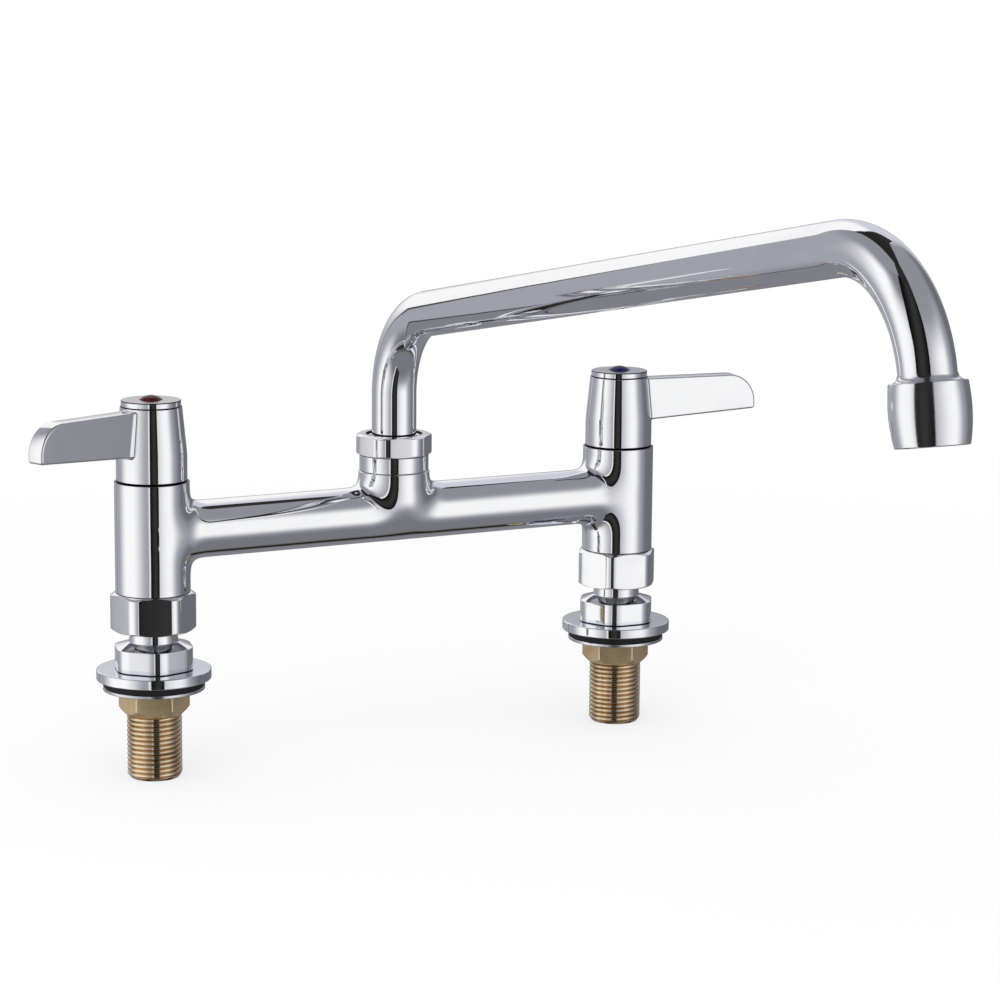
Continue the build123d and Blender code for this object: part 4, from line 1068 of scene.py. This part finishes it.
def spoutNutGrid(setup):
    # a hexagon between two turned cones; skirt below and stepped opening above are turned rows
    skirt, low, hexLow, high, thread = pick(setup, "skirt low hexLow high thread")
    step, opening, washerTop = pick(setup, "step opening washerTop")
    rim, ledge = setup["flats"] / 2 - setup["rimInset"], high - setup["stepDepth"]
    below = [(thread, low)] + offCorner(skirt, low, setup["footEase"])
    below += offCorner(skirt, hexLow, setup["skirtEase"]) + offCorner(rim, hexLow, setup["hexEase"])
    above = offCorner(rim, high, setup["rimEase"]) + offCorner(step, high, setup["stepEase"])
    above += offCorner(step, ledge, setup["ledgeEase"]) + offCorner(opening, ledge, setup["openingEase"])
    above += [(opening, washerTop), (thread, washerTop)]
    cones = [(height, rim, setup["slope"]) for height in (hexLow, high)]
    return nutGrid(hexOutline(setup, setup["turn"]), 0.0, below, above, *cones, setup["soft"])


# spout: riser, bend, rising run, bend over the outlet; lengths ahead (towards -Y) and up
spout = {"radius": 8.73, "bore": 7.73, "start": 79.95, "rise": 105.8, "firstBend": 35.4, "slope": 10.0,
         "run": 279.7, "lastBend": 41.0, "end": 8.1, "segments": 96, "riserRows": 12, "firstRows": 61,
         "runRows": 80, "lastRows": 69, "endRows": 4}


def spoutPath(setup):
    # straight, arc, straight, arc, straight; heading is the turn from upright
    start, rise, firstBend, lastBend = pick(setup, "start rise firstBend lastBend")
    lean = math.radians(90 - setup["slope"])
    firstTurn = np.linspace(0, lean, setup["firstRows"])
    lastTurn = np.linspace(lean, lean + quarterTurn, setup["lastRows"])
    climb = np.linspace(start, rise, setup["riserRows"] + 1)[:-1]
    riser = np.stack([0 * climb, climb], -1)
    first = np.array([firstBend, rise]) - firstBend * np.stack([np.cos(firstTurn), -np.sin(firstTurn)], -1)
    ahead = np.array([math.sin(lean), math.cos(lean)])
    run = first[-1] + ahead * (setup["run"] * np.linspace(0, 1, setup["runRows"] + 1)[1:-1])[:, None]
    middle = first[-1] + ahead * setup["run"] + lastBend * np.array([math.cos(lean), -math.sin(lean)])
    last = middle - lastBend * np.stack([np.cos(lastTurn), -np.sin(lastTurn)], -1)
    drop = np.array([math.sin(lastTurn[-1]), math.cos(lastTurn[-1])])
    tail = last[-1] + drop * np.linspace(0, setup["end"], setup["endRows"] + 1)[1:, None]
    heading = [0 * climb, firstTurn, np.full(len(run), lean), lastTurn, np.full(len(tail), lastTurn[-1])]
    return np.concatenate([riser, first, run, last, tail]), np.concatenate(heading)


def spoutGrid(setup):
    # a circle carried along the path, outside going and bore coming back with every fourth ring
    path, heading = spoutPath(setup)
    back = np.stack([0 * heading, -np.cos(heading), -np.sin(heading)], -1)
    line = np.stack([0 * heading, -path[:, 0], path[:, 1]], -1)
    ring = roundRing(setup["segments"], back[:, None])
    outside = line[:, None] + setup["radius"] * ring
    bore = (line[:, None] + setup["bore"] * ring)[::-4]
    return np.concatenate([outside, bore])


# outlet collar on the end of the spout, drawn as radius and depth below its top
collar = {"gap": 1.1, "socket": 8.75, "top": 11.66, "belly": 12.2, "bellyDepth": 6.5, "end": 11.08,
          "length": 19.0, "edge": 0.55, "inner": 9.48, "innerEase": 0.25, "ledge": 7.0, "flare": 2.1,
          "lip": 0.15}


def collarGrid(setup, columns=192):
    # belly as a parabola through top, belly and end radii, eased edges, the bore, and a flare round the tube
    edge, length, inner, ease, ledge = pick(setup, "edge length inner innerEase ledge")
    socket, size = setup["socket"], setup["flare"]
    curve = np.polyfit(np.array([0, setup["bellyDepth"], length]), np.array(pick(setup, "top belly end")), 2)
    depth = np.linspace(edge, length - edge, 40)
    belly = np.stack([np.polyval(curve, depth), depth], -1)
    turn = np.linspace(0, quarterTurn, 7)[:-1]
    brow = np.stack([belly[0, 0] - edge + edge * np.sin(turn), edge - edge * np.cos(turn)], -1)
    chin = np.stack([belly[-1, 0] - edge + edge * np.cos(turn), length - edge + edge * np.sin(turn)], -1)[1:]
    inside = np.array([(belly[-1, 0] - edge, length), (inner + ease, length), (inner, length - ease),
                       (inner, ledge), (socket, ledge), (socket, -size)])
    sweep = np.linspace(0, quarterTurn, 13)
    flare = np.stack([socket + setup["lip"] + size - size * np.cos(sweep), size * np.sin(sweep) - size], -1)
    loop = np.concatenate([brow, belly, chin, inside, flare])
    path, heading = spoutPath(spout)
    down = np.array([0, -math.sin(heading[-1]), math.cos(heading[-1])])
    tubeEnd = np.array([0, -path[-1, 0], path[-1, 1]])
    top = tubeEnd + down * (setup["gap"] - spout["end"])
    ring = roundRing(columns, np.cross(down, [1.0, 0, 0]))
    return top + loop[:, None, 1:] * down + loop[:, None, :1] * ring


makePiece("spoutNut", [spoutNutGrid(spoutNut)], "spout_nut")
makePiece("spoutTube", [spoutGrid(spout)], "spout_tube")
makePiece("outletCollar", [collarGrid(collar)], "outlet_collar")
print("spout: nut, tube, collar")
